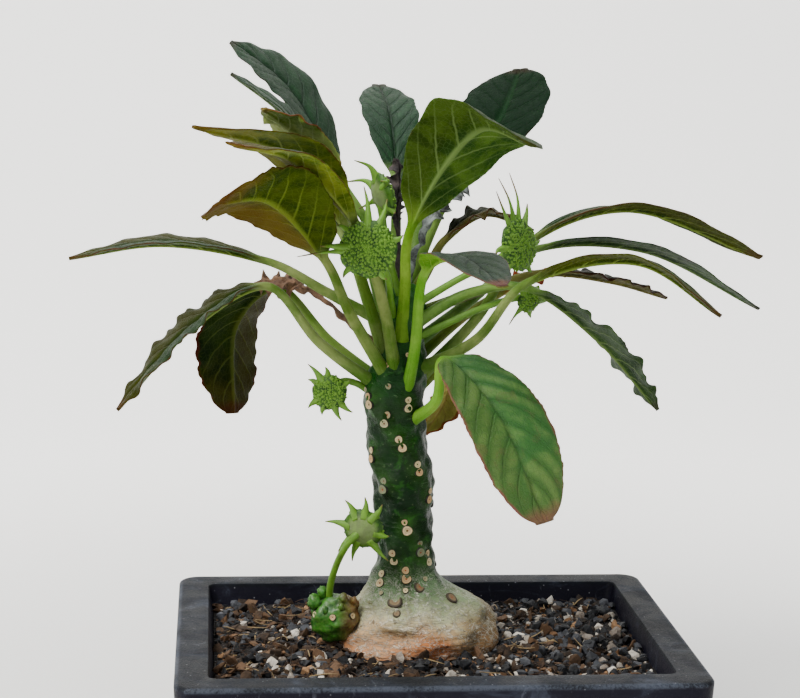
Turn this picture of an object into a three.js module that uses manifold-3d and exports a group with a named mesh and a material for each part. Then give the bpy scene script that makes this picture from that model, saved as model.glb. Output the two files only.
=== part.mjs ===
// A Dorstenia foetida in a shallow rectangular tray pot.
// Millimetres, +Z up. The origin is the centre of the pot's flat underside, the front faces -Y.
// Each mesh is one closed solid: the pot, the soil, the grown stem with its swollen base,
// every leaf with its stalk, every flower head with its stalk, and the dried leaves.
import * as THREE from 'three'
import { mergeVertices } from 'three/addons/utils/BufferGeometryUtils.js'
import Module from 'manifold-3d'

const wasm = await Module()
wasm.setup()

// Driving dimensions
const GAP = 0.3                  // clearance between pieces that touch
const POT = {
  width: 150,                    // across the rim, left to right
  depth: 110,                    // across the rim, front to back
  height: 50,
  rim: 9.6,                      // width of the flat rim
  wall: 2.5,
  floor: 3,
  taper: 8,                      // how far each wall leans in from rim to floor
  skirt: 10,                     // height of the turned-down outer edge of the rim
  skirtThickness: 1.8,
  bevel: 1.2,
  lean: 0.4,                     // how far the skirt leans in from its top to its lower edge
  footEdge: 1,                   // bevel round the underside
  cornerRadius: 6,
  footCornerRadius: 7,
  wallCornerRadius: 4.5,         // inside the skirt
  innerCornerRadius: 2.5,
  drainDiameter: 14,
  drainOffset: 34,
}
const SOIL = {
  drop: 6,                       // how far the soil lies below the rim
  cell: 5.6,                     // spacing of the lumps that cover its top
  relief: 1.3,                   // height of those lumps
  wallGap: 0.45,                 // clearance to the pot's inner wall
  jitter: 1,                     // how far a lump strays from its place
  grains: 20,                    // larger grains that stand out of it
  grainMin: 2.3,
  grainMax: 3.4,
  grainShape: [1, 0.75, 0.7],    // a grain's proportions
  grainRise: 0.5,                // height of a grain's middle over the soil
  grainMargin: 3.6,              // how far grains keep off the wall
  bare: { x: -5, y: 4, rx: 31, ry: 25 },   // the ground round the caudex that holds no large grains
}
const LEAF = {
  thickness: 0.9,
  stalkRadius: 1.7,
  ribDepth: 1.1,                 // how far the midrib stands out below, at the base
  fold: 0.2,                     // how far the two halves rise to a shallow V
  wave: 1.0,                     // height of the waves along the edge
  tip: 0.8,                      // half width at the tip
  bluntTip: 1.6,                 // what a blunt tip adds to that
  scallop: 0.03,                 // how far the edge swings in and out, as a share of the half width
  start: 0.16,                   // share of the blade over which the stalk flattens into it
  stalkRings: 4,
  bladeRings: 11,
}
const HEAD = {
  sides: 10,
  // the disc's rings from its back to its face, as a share of its radius and the depth there
  profile: [[0.2, -2.6], [0.62, -1.6], [1, 0], [0.82, 1.2], [0.5, 1.8], [0.15, 2]],
  bump: 0.35,                    // height of the bumps on the face
  arm: [1.2, 0.7, 0.35],         // the arm's radius at its root, middle and tip
  armRoot: 0.6,                  // where an arm starts, as a share of the radius
  armCurl: 0.06,                 // how far its tip turns aside, in radians
  stalkRadius: 1.1,
  stalkRings: 6,
}

// The stem's outline: height, then where its centre is, then its half width and half depth.
// It swells to the caudex at the soil and narrows again to a blunt root end below it.
const STEM = [
  { z: 27, x: -3, y: 4, rx: 8, ry: 7 },
  { z: 31, x: -3, y: 4, rx: 15, ry: 13 },
  { z: 37, x: -3, y: 4.5, rx: 20.5, ry: 17.5 },
  { z: 42, x: -3, y: 4.5, rx: 23.4, ry: 20 },
  { z: 46, x: -2.6, y: 4.5, rx: 24.2, ry: 20.6 },
  { z: 50, x: -2.4, y: 4.5, rx: 23.6, ry: 20 },
  { z: 54, x: -2.6, y: 4.2, rx: 21.4, ry: 18.2 },
  { z: 57.5, x: -3.4, y: 3.8, rx: 17.8, ry: 15.4 },
  { z: 61, x: -5.6, y: 3.4, rx: 13.4, ry: 12.4 },
  { z: 65, x: -6.7, y: 3.1, rx: 10.4, ry: 10 },
  { z: 70, x: -7.1, y: 3, rx: 8.4, ry: 8.4 },
  { z: 78, x: -7.6, y: 3, rx: 8.3, ry: 8.3 },
  { z: 87, x: -8, y: 3, rx: 8.7, ry: 8.7 },
  { z: 96, x: -8.4, y: 3, rx: 9, ry: 9 },
  { z: 104, x: -9.6, y: 3, rx: 8.8, ry: 8.8 },
  { z: 112, x: -11, y: 3, rx: 8.6, ry: 8.6 },
  { z: 119, x: -11.4, y: 3, rx: 8.6, ry: 8.6 },
  { z: 125, x: -10.8, y: 3, rx: 8.8, ry: 8.8 },
  { z: 131, x: -10.2, y: 3, rx: 7.4, ry: 7.6 },
  { z: 137, x: -10, y: 3, rx: 6.6, ry: 6.8 },
  { z: 143, x: -9.6, y: 3, rx: 6.4, ry: 6.4 },
  { z: 149, x: -9, y: 3, rx: 5.2, ry: 5.2 },
  { z: 153, x: -8.6, y: 3.2, rx: 2.4, ry: 2.4 },
]
const STEM_SIDES = 18
// The stem's lumps: share of the radius, how many round it, and how fast they turn with height
const STEM_LUMPS = [{ share: 0.04, count: 3, turn: 0.35 }, { share: 0.025, count: 5, turn: -0.6 }]
const CROWN = { x: -10, y: 3 }   // the upright line that the leaves' headings turn about

// Old leaf scars come in pairs, a small one over a larger one.
// Those at the front are placed one by one, as height and angle round the stem.
const FRONT_SCARS = [
  [118, 216], [117.5, 292], [113, 246], [106, 272], [101.5, 204], [98.5, 296], [93, 228],
  [89.5, 322], [81, 271], [74, 297], [71.5, 244], [70.5, 318], [66.5, 266], [64.5, 222],
]
// Those at the back wind up the stem by an even step and turn.
const BACK_SCARS = { count: 8, from: 68, step: 6, first: 20, turn: 49, range: 140 }
const SCAR = { radius: 1.6, smallRadius: 1.1, pitch: 2.5, rise: 0.55, depth: 2.4, taper: 0.8, sides: 5 }

// Each leaf grows outwards in its heading, in degrees from +X, anticlockwise seen from above.
// Its route is five points on its midrib, each as the distance out and the height: where it
// leaves the stem, the middle of the stalk, the start of the blade, its middle and its tip.
// A third number moves a point to the right of the heading.
// The roll turns the blade about its midrib, its right side upwards.
const LEAVES = [
  {
    heading: 150, width: 25.5, roll: 3, blunt: 0.3,
    route: [[2, 144, 0.5], [9, 166, 0.5], [20, 182, -0.5], [40, 208.5, 3], [55.5, 221.5, -4]],
  },
  {
    heading: 172, width: 17,
    route: [[3, 135, 4], [12, 165, 5], [21, 181, 3], [34, 201.5, -5.5], [49.5, 213, -7.5]],
  },
  {
    heading: 205, width: 21, roll: -10, blunt: 0.5,
    route: [[2, 144, 0.5], [9, 160, 0.5], [18, 172, 1], [32, 194, 1], [45.5, 204]],
  },
  {
    heading: 215, width: 24, roll: -20, twist: 14,
    route: [[5, 131, 0.5], [14, 153], [21, 170], [39, 191, 2], [73.5, 200]],
  },
  {
    heading: 235, width: 15, roll: -6, twist: 14, blunt: 1.4,
    route: [[5, 127, -1.5], [14, 149, -2], [26, 172], [55, 191.5, 2], [84.5, 197, 1.5]],
  },
  {
    heading: 225, width: 32, roll: -18, twist: -17, blunt: 1.4,
    route: [[4, 124], [23, 147], [33, 162], [54, 180, 2], [75, 181, 0.5]],
  },
  { heading: 180, width: 21, route: [[2, 140, -1], [21, 150], [38, 159], [69, 164], [96, 159.5]] },
  { heading: 190, width: 23, route: [[4, 121], [24, 136], [40, 153], [61, 142], [83, 118]] },
  {
    heading: 150, width: 30, roll: -9, blunt: 1.4,
    route: [[4, 122], [23, 134], [41, 149], [57, 135.5, 3], [56, 108.5]],
  },
  {
    heading: 55, width: 26.5, roll: -22, twist: 24, blunt: 1.2,
    route: [[2, 145, -0.7], [14, 162, -0.5], [26, 181, 3], [48, 200.5, 7], [66.5, 214.3, 4]],
  },
  {
    heading: 5, width: 18, twist: 18, blunt: 0.8,
    route: [[4, 123], [23, 143], [37.5, 165], [67, 175], [110, 160.5]],
  },
  {
    heading: 16, width: 20, roll: 14, twist: -20,
    route: [[3, 134], [25, 148, -3], [43, 161.5, -3], [80, 161, -2], [121.5, 141.5]],
  },
  {
    heading: 335, width: 19, roll: 10, blunt: 0.8,
    route: [[4, 127], [23, 138], [37.5, 155.5], [70, 163.5], [94, 150]],
  },
  { heading: 20, width: 15, route: [[3, 143], [24, 150, 2], [46, 155, 3], [70, 151.5, 2], [92, 145]] },
  {
    heading: 350, width: 27, roll: 8, twist: 16,
    route: [[2, 140, 1], [20, 151], [37, 153], [58, 138.5], [76, 118.2]],
  },
  {
    heading: 307, width: 28.5, roll: -8, blunt: 1.5,
    route: [[4, 112], [16, 121], [18, 133], [38.5, 121.5, -1.5], [58, 92.5, -2.5]],
  },
  { heading: 45, width: 13, route: [[5, 119], [19, 125], [25, 123], [23, 115], [13, 106]] },
  { heading: 8, width: 15, route: [[2, 147], [8, 157, -1], [13, 165, -3], [26, 173, -4], [41, 168, -4]] },
  { heading: 34, width: 13, route: [[3, 128], [22, 140], [38, 147], [54, 151], [68, 152]] },
  {
    heading: 300, width: 31, roll: 30, twist: -10, blunt: 0.3,
    route: [[4.5, 137, 3], [6, 152, 3], [7, 169, 2.5], [33, 199.5, -1], [58.5, 197]],
  },
  {
    heading: 95, width: 17.5, blunt: 1,
    route: [[4, 138], [10, 160], [16, 181, 0.7], [32, 199.5, 1.5], [54, 208.5, 1.5]],
  },
  { heading: 285, width: 18, blunt: 0.6, route: [[5, 119], [12, 135], [18, 158], [45, 166], [74, 162]] },
  { heading: 75, width: 24, route: [[2, 132], [18, 152], [32, 168], [60, 182], [88, 178]] },
  { heading: 116, width: 24, route: [[4, 122], [20, 146], [34, 163], [58, 174], [84, 164]] },
]

// The leaves that have dried up in the crown, limp and strongly curled
const DRIED = [
  {
    heading: 160, width: 11, wave: 2, stalk: 1.2,
    route: [[4, 131], [17, 142], [27, 149], [36, 151], [45, 151]],
  },
  {
    heading: 130, width: 5, wave: 1.4, stalk: 1,
    route: [[0.5, 149], [1, 158], [2, 168], [2.5, 178], [3, 189]],
  },
  {
    heading: 30, width: 13, wave: 2.2, stalk: 1.1,
    route: [[1.5, 150], [4, 160], [8, 168], [14, 176], [23, 182]],
  },
]

// Each flower head is a thick fleshy disc that faces one way, given as an azimuth and an
// elevation in degrees. Its arms are listed as the angle round the disc, anticlockwise from
// the viewer's right, how far the tip reaches from the centre, and how far it bends forward.
// The stalk's points run from behind the disc to the stem.
const FLOWER_HEADS = [
  {
    centre: [-22.2, -25, 166.3], facing: [262, 12], radius: 8,
    stalk: [[-16, -15, 158], [-14, -6, 150], [-12, 0, 142]],
    arms: [
      [92, 17.5, 0], [68, 15, -2], [178, 12.5, 8], [187, 19, 9],
      [228, 10.5, 1], [300, 10, 1], [20, 10.5, 0], [140, 11, 0],
    ],
  },
  {
    centre: [-16.3, 0, 179], facing: [20, 15], radius: 6.5,
    stalk: [[-16, -1, 171], [-14, -2, 160], [-10, 0, 148]],
    arms: [[100, 12, -5], [150, 11, -6], [200, 8.5, -5], [40, 7.8, -2], [320, 7.8, 0], [260, 7.5, -2]],
  },
  {
    centre: [22.7, -6, 165.7], facing: [313, 8], radius: 7.6,
    stalk: [[17, -3, 161], [6, -2, 155], [-6, 1, 147]],
    arms: [
      [120, 19, 2], [98, 20, -2], [80, 21, -3], [60, 13, 0],
      [185, 13, 2], [230, 10, 0], [300, 10, 0], [0, 10.5, 0],
    ],
  },
  {
    centre: [-30.6, 0, 121.2], facing: [255, 10], radius: 5.2,
    stalk: [[-27, 2, 124], [-23, 2.5, 123.5], [-16, 3, 119]],
    arms: [
      [128, 10.5, 0], [150, 7.5, 0], [100, 7.5, 0], [215, 8, 0],
      [250, 7, 0], [292, 9, 0], [318, 9, 0], [30, 7, 0],
    ],
  },
  {
    centre: [-21.2, -13, 83.4], facing: [70, 8], radius: 6,
    stalk: [[-25, -14, 80], [-28.5, -8, 71], [-30, -3, 61], [-29, -2, 56]],
    arms: [
      [82, 10, 0], [118, 10, 0], [170, 11.5, 0], [222, 11, 0],
      [248, 11, 0], [305, 12, 0], [345, 8, 0], [50, 10, 0],
    ],
  },
  {
    centre: [28, 4, 148.5], facing: [300, -20], radius: 4,
    stalk: [[24, 3, 149], [14, 0, 146.5], [4, 0, 142], [-6, 1, 137]],
    arms: [[235, 9.5, 0], [290, 7, 0], [350, 8, 0], [60, 5, 0], [140, 6, 0]],
  },
]

// Plain helpers
const radians = (degrees) => degrees * Math.PI / 180
const lerp = (a, b, t) => a + (b - a) * t
const smooth = (t) => {
  const s = Math.min(1, Math.max(0, t))
  return s * s * (3 - 2 * s)
}

function seededRandom(seed) {
  let state = seed
  return () => {
    state = (state + 0x6d2b79f5) | 0
    let t = Math.imul(state ^ (state >>> 15), 1 | state)
    t = (t + Math.imul(t ^ (t >>> 7), 61 | t)) ^ t
    return ((t ^ (t >>> 14)) >>> 0) / 2 ** 32
  }
}

// A closed skin over rings of equally many points, with a flat fan at each end.
// crossOver says for a side of the ring which of its two diagonals splits it.
function loft(rings, crossOver = () => false) {
  const sides = rings[0].length
  const positions = rings.flat().flatMap((p) => [p.x, p.y, p.z])
  const index = []
  for (let i = 0; i + 1 < rings.length; i++) {
    for (let j = 0; j < sides; j++) {
      const a = i * sides + j
      const b = i * sides + (j + 1) % sides
      const c = b + sides
      const d = a + sides
      if (crossOver(j)) index.push(a, b, d, b, c, d)
      else index.push(a, b, c, a, c, d)
    }
  }
  const last = (rings.length - 1) * sides
  for (let j = 1; j + 1 < sides; j++) {
    index.push(0, j + 1, j)
    index.push(last, last + j, last + j + 1)
  }
  const geometry = new THREE.BufferGeometry()
  geometry.setAttribute('position', new THREE.Float32BufferAttribute(positions, 3))
  geometry.setIndex(index)
  return geometry
}

function signedVolume(geometry) {
  const p = geometry.attributes.position
  const index = geometry.index
  const a = new THREE.Vector3()
  const b = new THREE.Vector3()
  const c = new THREE.Vector3()
  let volume = 0
  for (let i = 0; i < index.count; i += 3) {
    a.fromBufferAttribute(p, index.getX(i))
    b.fromBufferAttribute(p, index.getX(i + 1))
    c.fromBufferAttribute(p, index.getX(i + 2))
    volume += a.dot(b.cross(c)) / 6
  }
  return volume
}

// A geometry as a solid that can be joined and cut, its faces turned outwards.
function toSolid(source) {
  const bare = source.clone()
  bare.deleteAttribute('normal')
  bare.deleteAttribute('uv')
  const merged = mergeVertices(bare, 1e-4)
  const triVerts = Uint32Array.from(merged.index.array)
  if (signedVolume(merged) < 0) {
    for (let i = 0; i < triVerts.length; i += 3) {
      const second = triVerts[i + 1]
      triVerts[i + 1] = triVerts[i + 2]
      triVerts[i + 2] = second
    }
  }
  const vertProperties = Float32Array.from(merged.attributes.position.array)
  return new wasm.Manifold(new wasm.Mesh({ numProp: 3, vertProperties, triVerts }))
}

function toGeometry(solid) {
  const mesh = solid.getMesh()
  const geometry = new THREE.BufferGeometry()
  geometry.setAttribute('position', new THREE.Float32BufferAttribute(mesh.vertProperties, 3))
  geometry.setIndex(Array.from(mesh.triVerts))
  geometry.computeVertexNormals()
  return geometry
}

// A cut can leave loose scraps: only the largest body is the piece.
function largestBody(solid) {
  const bodies = solid.decompose()
  return bodies.reduce((best, body) => (body.volume() > best.volume() ? body : best))
}

const joined = (solids) => solids.reduce((all, solid) => all.add(solid))

// A tube along a route, with a radius at each of its rings.
function tube(route, radii, sides) {
  const curve = new THREE.CatmullRomCurve3(route)
  const frames = curve.computeFrenetFrames(radii.length - 1, false)
  const rings = radii.map((radius, i) => {
    const centre = curve.getPointAt(i / (radii.length - 1))
    return Array.from({ length: sides }, (_, j) => {
      const angle = 2 * Math.PI * j / sides
      return centre.clone()
        .addScaledVector(frames.normals[i], radius * Math.cos(angle))
        .addScaledVector(frames.binormals[i], radius * Math.sin(angle))
    })
  })
  return loft(rings)
}

// A rectangle with round corners, as one ring of points.
const CORNER_STEPS = 3
function rectangleRing(width, depth, radius, z) {
  const ring = []
  const corners = [[1, 1], [-1, 1], [-1, -1], [1, -1]]
  corners.forEach(([sx, sy], corner) => {
    for (let k = 0; k <= CORNER_STEPS; k++) {
      const angle = (corner + k / CORNER_STEPS) * Math.PI / 2
      const x = sx * (width / 2 - radius) + radius * Math.cos(angle)
      const y = sy * (depth / 2 - radius) + radius * Math.sin(angle)
      ring.push(new THREE.Vector3(x, y, z))
    }
  })
  return ring
}

// The pot's skin runs from under the base up the outside, round the turned-down rim and
// down the inside to the floor.
function makePot() {
  const { width, depth, height, rim, wall, taper, skirt, bevel, lean, footEdge } = POT
  const section = (inset, radius, z) => rectangleRing(width - 2 * inset, depth - 2 * inset, radius, z)
  const outerWall = rim - wall
  const insideSkirt = POT.skirtThickness + lean
  const underRim = height - wall
  const rings = [
    section(outerWall + taper, POT.footCornerRadius, 0),
    section(outerWall + taper - footEdge, POT.footCornerRadius, footEdge),
    section(outerWall + lean, POT.cornerRadius, underRim),
    section(insideSkirt, POT.wallCornerRadius, underRim),
    section(insideSkirt, POT.wallCornerRadius, height - skirt),
    section(lean, POT.cornerRadius, height - skirt),
    section(0, POT.cornerRadius, height - bevel),
    section(bevel, POT.cornerRadius - bevel / 2, height),
    section(rim - bevel / 2, POT.innerCornerRadius, height),
    section(rim, POT.innerCornerRadius, height - bevel / 2),
    section(rim + taper, POT.innerCornerRadius, POT.floor),
  ]
  const drainRadius = POT.drainDiameter / 2
  const drain = new THREE.CylinderGeometry(drainRadius, drainRadius, 4 * POT.floor, 16)
  drain.rotateX(Math.PI / 2)
  const holes = [-1, 1].map((side) => toSolid(drain.clone().translate(side * POT.drainOffset, 0, 0)))
  return toSolid(loft(rings)).subtract(joined(holes))
}

// How far the inner wall has leaned in at a height
function innerInset(z) {
  const top = POT.height - POT.bevel / 2
  return POT.rim + POT.taper * (top - z) / (top - POT.floor)
}

// The stem's ring at one station, swollen by grow for the clearance round it.
function stemRing(station, grow) {
  const ring = []
  for (let j = 0; j < STEM_SIDES; j++) {
    const angle = 2 * Math.PI * j / STEM_SIDES
    let swell = 1
    for (const lump of STEM_LUMPS) {
      swell += lump.share * Math.sin(lump.count * angle + lump.turn * station.z)
    }
    const x = station.x + (station.rx * swell + grow) * Math.cos(angle)
    const y = station.y + (station.ry * swell + grow) * Math.sin(angle)
    ring.push(new THREE.Vector3(x, y, station.z))
  }
  return ring
}

function stemStationAt(z) {
  const upper = Math.max(1, STEM.findIndex((station) => station.z >= z))
  const a = STEM[upper - 1]
  const b = STEM[upper]
  const t = (z - a.z) / (b.z - a.z)
  const between = (key) => lerp(a[key], b[key], t)
  return { z, x: between('x'), y: between('y'), rx: between('rx'), ry: between('ry') }
}

// A scar is a low round boss whose axis stands square to the stem.
function scarSolid(z, degrees, radius, grow) {
  const { rise, depth, taper, sides } = SCAR
  const angle = radians(degrees)
  const station = stemStationAt(z)
  const length = depth + rise + grow
  const boss = new THREE.CylinderGeometry(radius * taper + grow, radius + grow, length, sides)
  boss.rotateZ(-Math.PI / 2)
  boss.translate((rise + grow - depth) / 2, 0, 0)
  boss.rotateZ(angle)
  boss.translate(station.x + station.rx * Math.cos(angle), station.y + station.ry * Math.sin(angle), z)
  return toSolid(boss)
}

function scarPlaces() {
  const { count, from, step, first, turn, range } = BACK_SCARS
  const back = Array.from({ length: count }, (_, k) => [from + step * k, first + (turn * k) % range])
  return [...FRONT_SCARS, ...back]
}

function ball(x, y, z, rx, ry, rz, across = 10, up = 7) {
  const shape = new THREE.SphereGeometry(1, across, up)
  shape.rotateX(Math.PI / 2)
  shape.scale(rx, ry, rz)
  shape.translate(x, y, z)
  return toSolid(shape)
}

// The young offset at the foot of the caudex, and the stub of an old branch in the crown,
// have grown in one piece with the stem.
const OFFSET = { x: -28, y: -1.5, z: 53.5, rx: 7.2, ry: 6.4, rz: 6.8 }
const BUDS = [[-34.5, -3, 58.6, 1.9], [-32, -1.5, 61, 1.5], [-26, -4.5, 60, 1.3]]
const STUB = { route: [[-10, 2.5, 134], [-13, 1, 142], [-15, 0, 149]], radii: [4.4, 4.2, 3.4, 2.2] }

function makeStem(grow) {
  const rings = STEM.map((station) => stemRing(station, grow))
  const parts = [toSolid(loft(rings))]
  for (const [z, degrees] of scarPlaces()) {
    parts.push(scarSolid(z, degrees, SCAR.radius, grow))
    parts.push(scarSolid(z + SCAR.pitch, degrees, SCAR.smallRadius, grow))
  }
  parts.push(ball(OFFSET.x, OFFSET.y, OFFSET.z, OFFSET.rx + grow, OFFSET.ry + grow, OFFSET.rz + grow))
  for (const [x, y, z, r] of BUDS) parts.push(ball(x, y, z, r + grow, r + grow, r * 1.2 + grow, 6, 4))
  const stubRoute = STUB.route.map((p) => new THREE.Vector3(...p))
  parts.push(toSolid(tube(stubRoute, STUB.radii.map((r) => r + grow), 8)))
  return largestBody(joined(parts))
}

// The soil fills the pot to a little below the rim. Its top is covered with lumps, and the
// largest grains of pumice, lava and bark are sunk in it and stand out of it.
function makeSoil(stemGrown) {
  const random = seededRandom(11)
  const level = POT.height - SOIL.drop - SOIL.relief / 2
  const ringAt = (z) => {
    const inset = innerInset(z) + SOIL.wallGap
    return rectangleRing(POT.width - 2 * inset, POT.depth - 2 * inset, POT.innerCornerRadius, z)
  }
  const filling = toSolid(loft([ringAt(POT.floor + GAP), ringAt(POT.height - 1)]))

  // A block with a lumpy top, wider than the pot, which the filling is cut by
  const columns = Math.round(POT.width / SOIL.cell)
  const rows = Math.round(POT.depth / SOIL.cell)
  const block = mergedBox(POT.width, POT.depth, 2 * level, columns, rows)
  const places = block.attributes.position
  for (let i = 0; i < places.count; i++) {
    if (places.getZ(i) < level - 1) continue
    places.setX(i, places.getX(i) + SOIL.jitter * lerp(-1, 1, random()))
    places.setY(i, places.getY(i) + SOIL.jitter * lerp(-1, 1, random()))
    places.setZ(i, level + SOIL.relief * lerp(-1, 1, random()))
  }
  const bed = filling.intersect(toSolid(block))

  const halfWidth = POT.width / 2 - innerInset(level) - SOIL.grainMargin
  const halfDepth = POT.depth / 2 - innerInset(level) - SOIL.grainMargin
  const { bare } = SOIL
  const grains = []
  while (grains.length < SOIL.grains) {
    const x = lerp(-halfWidth, halfWidth, random())
    const y = lerp(-halfDepth, halfDepth, random())
    const size = lerp(SOIL.grainMin, SOIL.grainMax, random())
    const turn = [random() * 6, random() * 6, random() * 6]
    if (Math.hypot((x - bare.x) / bare.rx, (y - bare.y) / bare.ry) < 1) continue
    const grain = new THREE.OctahedronGeometry(size, 0)
    grain.scale(...SOIL.grainShape)
    grain.rotateX(turn[0]).rotateY(turn[1]).rotateZ(turn[2])
    grain.translate(x, y, level + SOIL.grainRise)
    grains.push(toSolid(grain))
  }
  return largestBody(joined([bed, ...grains]).subtract(stemGrown))
}

// A box about the origin with its faces split into cells and its shared corners merged
function mergedBox(width, depth, height, columns, rows) {
  const box = new THREE.BoxGeometry(width, depth, height, columns, rows, 1)
  box.deleteAttribute('normal')
  box.deleteAttribute('uv')
  return mergeVertices(box, 1e-4)
}

// Half of the blade's width along it, from 0 at its base to 1 at its tip, where 1 is the widest
function bladeProfile(u, blunt) {
  return Math.sin(Math.PI * Math.pow(u, lerp(1.1, 1.3, blunt))) ** lerp(0.75, 0.55, blunt)
}

const ACROSS = [-1, -0.5, 0, 0.5, 1]
const RING_POINTS = 2 * ACROSS.length

// A leaf is one loft: round rings for its stalk, then thin folded rings for its blade.
function makeLeaf(leaf) {
  const heading = radians(leaf.heading)
  const out = new THREE.Vector3(Math.cos(heading), Math.sin(heading), 0)
  const right = new THREE.Vector3(Math.sin(heading), -Math.cos(heading), 0)
  const route = leaf.route.map(([distance, height, side = 0]) => new THREE.Vector3(CROWN.x, CROWN.y, height)
    .addScaledVector(out, distance).addScaledVector(right, side))
  const curve = new THREE.CatmullRomCurve3(route)
  const rings = []
  const total = LEAF.stalkRings + LEAF.bladeRings
  for (let i = 0; i < total; i++) {
    const onBlade = i >= LEAF.stalkRings
    const u = onBlade ? (i - LEAF.stalkRings) / (LEAF.bladeRings - 1) : 0
    const t = onBlade ? lerp(0.5, 1, u) : 0.5 * i / LEAF.stalkRings
    const centre = curve.getPoint(t)
    const along = curve.getTangent(t)
    const side = right.clone().addScaledVector(along, -right.dot(along)).normalize()
    const up = side.clone().cross(along)
    const roll = radians((leaf.roll ?? 0) * smooth(t / 0.6) + (leaf.twist ?? 0) * u)
    const turnedSide = side.clone().multiplyScalar(Math.cos(roll)).addScaledVector(up, Math.sin(roll))
    const turnedUp = up.clone().multiplyScalar(Math.cos(roll)).addScaledVector(side, -Math.sin(roll))
    rings.push(leafRing(leaf, i, u, centre, turnedSide, turnedUp))
  }
  const below = (j) => j >= ACROSS.length && j < RING_POINTS - 1
  return toSolid(loft(rings, below))
}

function leafRing(leaf, i, u, centre, side, up) {
  const stalk = (leaf.stalk ?? LEAF.stalkRadius) * lerp(1.15, 0.8, Math.min(1, i / LEAF.stalkRings))
  const wave = (leaf.wave ?? LEAF.wave) * (i % 2 ? 1 : -1) * (0.75 + 0.35 * Math.sin(1.7 * i))
  const blunt = leaf.blunt ?? 0
  const widest = Math.max(LEAF.tip + LEAF.bluntTip * blunt, leaf.width / 2 * bladeProfile(u, blunt))
  const half = widest * (1 + LEAF.scallop * (i % 2 ? 1 : -1))
  const fold = LEAF.fold * (1 - 0.6 * u)
  const flat = smooth(u / LEAF.start)
  const rim = smooth(u / 0.3) * smooth((1 - u) / 0.12)
  const points = []
  for (let j = 0; j < RING_POINTS; j++) {
    const top = j < ACROSS.length
    const v = top ? ACROSS[j] : ACROSS[RING_POINTS - 1 - j]
    const bow = Math.abs(v) * half * fold + wave * rim * Math.sign(v) * (Math.abs(v) === 1 ? 1 : 0.3)
    const rib = !top && v === 0 ? LEAF.ribDepth * (1 - 0.85 * u) : 0
    const bladeUp = bow + (top ? LEAF.thickness / 2 : -LEAF.thickness / 2 - rib)
    const round = Math.PI * (1 - (j + 0.5) / ACROSS.length)
    const across = lerp(stalk * Math.cos(round), v * half, flat)
    const raised = lerp(stalk * Math.sin(round), bladeUp, flat)
    points.push(centre.clone().addScaledVector(side, across).addScaledVector(up, raised))
  }
  return points
}

// A flower head: the disc with its bumpy face, the arms that stand out round it, and the stalk.
function makeHead(head) {
  const [azimuth, elevation] = head.facing.map(radians)
  const face = new THREE.Vector3(
    Math.cos(azimuth) * Math.cos(elevation), Math.sin(azimuth) * Math.cos(elevation), Math.sin(elevation))
  const across = new THREE.Vector3(-Math.sin(azimuth), Math.cos(azimuth), 0)
  if (across.x < 0) across.negate()
  const upward = face.clone().cross(across)
  if (upward.z < 0) upward.negate()
  const centre = new THREE.Vector3(...head.centre)
  const place = (angle, reach, forward) => centre.clone()
    .addScaledVector(across, reach * Math.cos(angle))
    .addScaledVector(upward, reach * Math.sin(angle))
    .addScaledVector(face, forward)
  const rings = HEAD.profile.map(([share, forward], i) => Array.from({ length: HEAD.sides }, (_, j) => {
    const bump = i > 2 ? HEAD.bump * (j % 2 ? 1 : -1) * (i % 2 ? 1 : -1) : 0
    return place(2 * Math.PI * (j + i * 0.5) / HEAD.sides, share * head.radius, forward + bump)
  }))
  const parts = [toSolid(loft(rings))]
  for (const [degrees, reach, forward] of head.arms) {
    const angle = radians(degrees)
    const route = [
      place(angle, head.radius * HEAD.armRoot, 0),
      place(angle, lerp(head.radius, reach, 0.45), forward * 0.25),
      place(angle + HEAD.armCurl, reach, forward),
    ]
    parts.push(toSolid(tube(route, HEAD.arm, 4)))
  }
  const stalk = [place(0, 0, 0), ...head.stalk.map((p) => new THREE.Vector3(...p))]
  parts.push(toSolid(tube(stalk, Array(HEAD.stalkRings).fill(HEAD.stalkRadius), 6)))
  return joined(parts)
}

// Materials
const material = (color, roughness) => new THREE.MeshStandardMaterial({ color, roughness, metalness: 0 })

const plant = new THREE.Group()
function addMesh(name, solid, finish) {
  const mesh = new THREE.Mesh(toGeometry(solid), finish)
  mesh.name = name
  plant.add(mesh)
}

const stemGrown = makeStem(GAP)
addMesh('pot', makePot(), material('#3a3f48', 0.6))
addMesh('soil', makeSoil(stemGrown), material('#4a3a30', 0.95))
addMesh('stem', makeStem(0), material('#3f5c38', 0.45))
LEAVES.forEach((leaf, i) => {
  const name = `leaf_${String(i + 1).padStart(2, '0')}`
  addMesh(name, largestBody(makeLeaf(leaf).subtract(stemGrown)), material('#3c6b35', 0.45))
})
DRIED.forEach((leaf, i) => {
  addMesh(`dried_leaf_${i + 1}`, largestBody(makeLeaf(leaf).subtract(stemGrown)), material('#4a3a30', 0.8))
})
FLOWER_HEADS.forEach((head, i) => {
  addMesh(`flower_head_${i + 1}`, largestBody(makeHead(head).subtract(stemGrown)), material('#74a83f', 0.5))
})

export default plant
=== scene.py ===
# %% [markdown]
# # A potted Dorstenia foetida
# The plant stands in a shallow tray of gritty soil: a swollen base, a green trunk full of old leaf
# scars, a crown of long stalked leaves and bumpy green flower heads. The packed model holds every
# piece as a plain solid in its right place. This lesson gives each one its fine surface: veins and
# crisp edges on the leaves, scars and streaks on the stem, loose grains in the tray.

import math
import random

import bmesh
import bpy
import numpy as np
from mathutils import Matrix, Vector, noise


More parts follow.
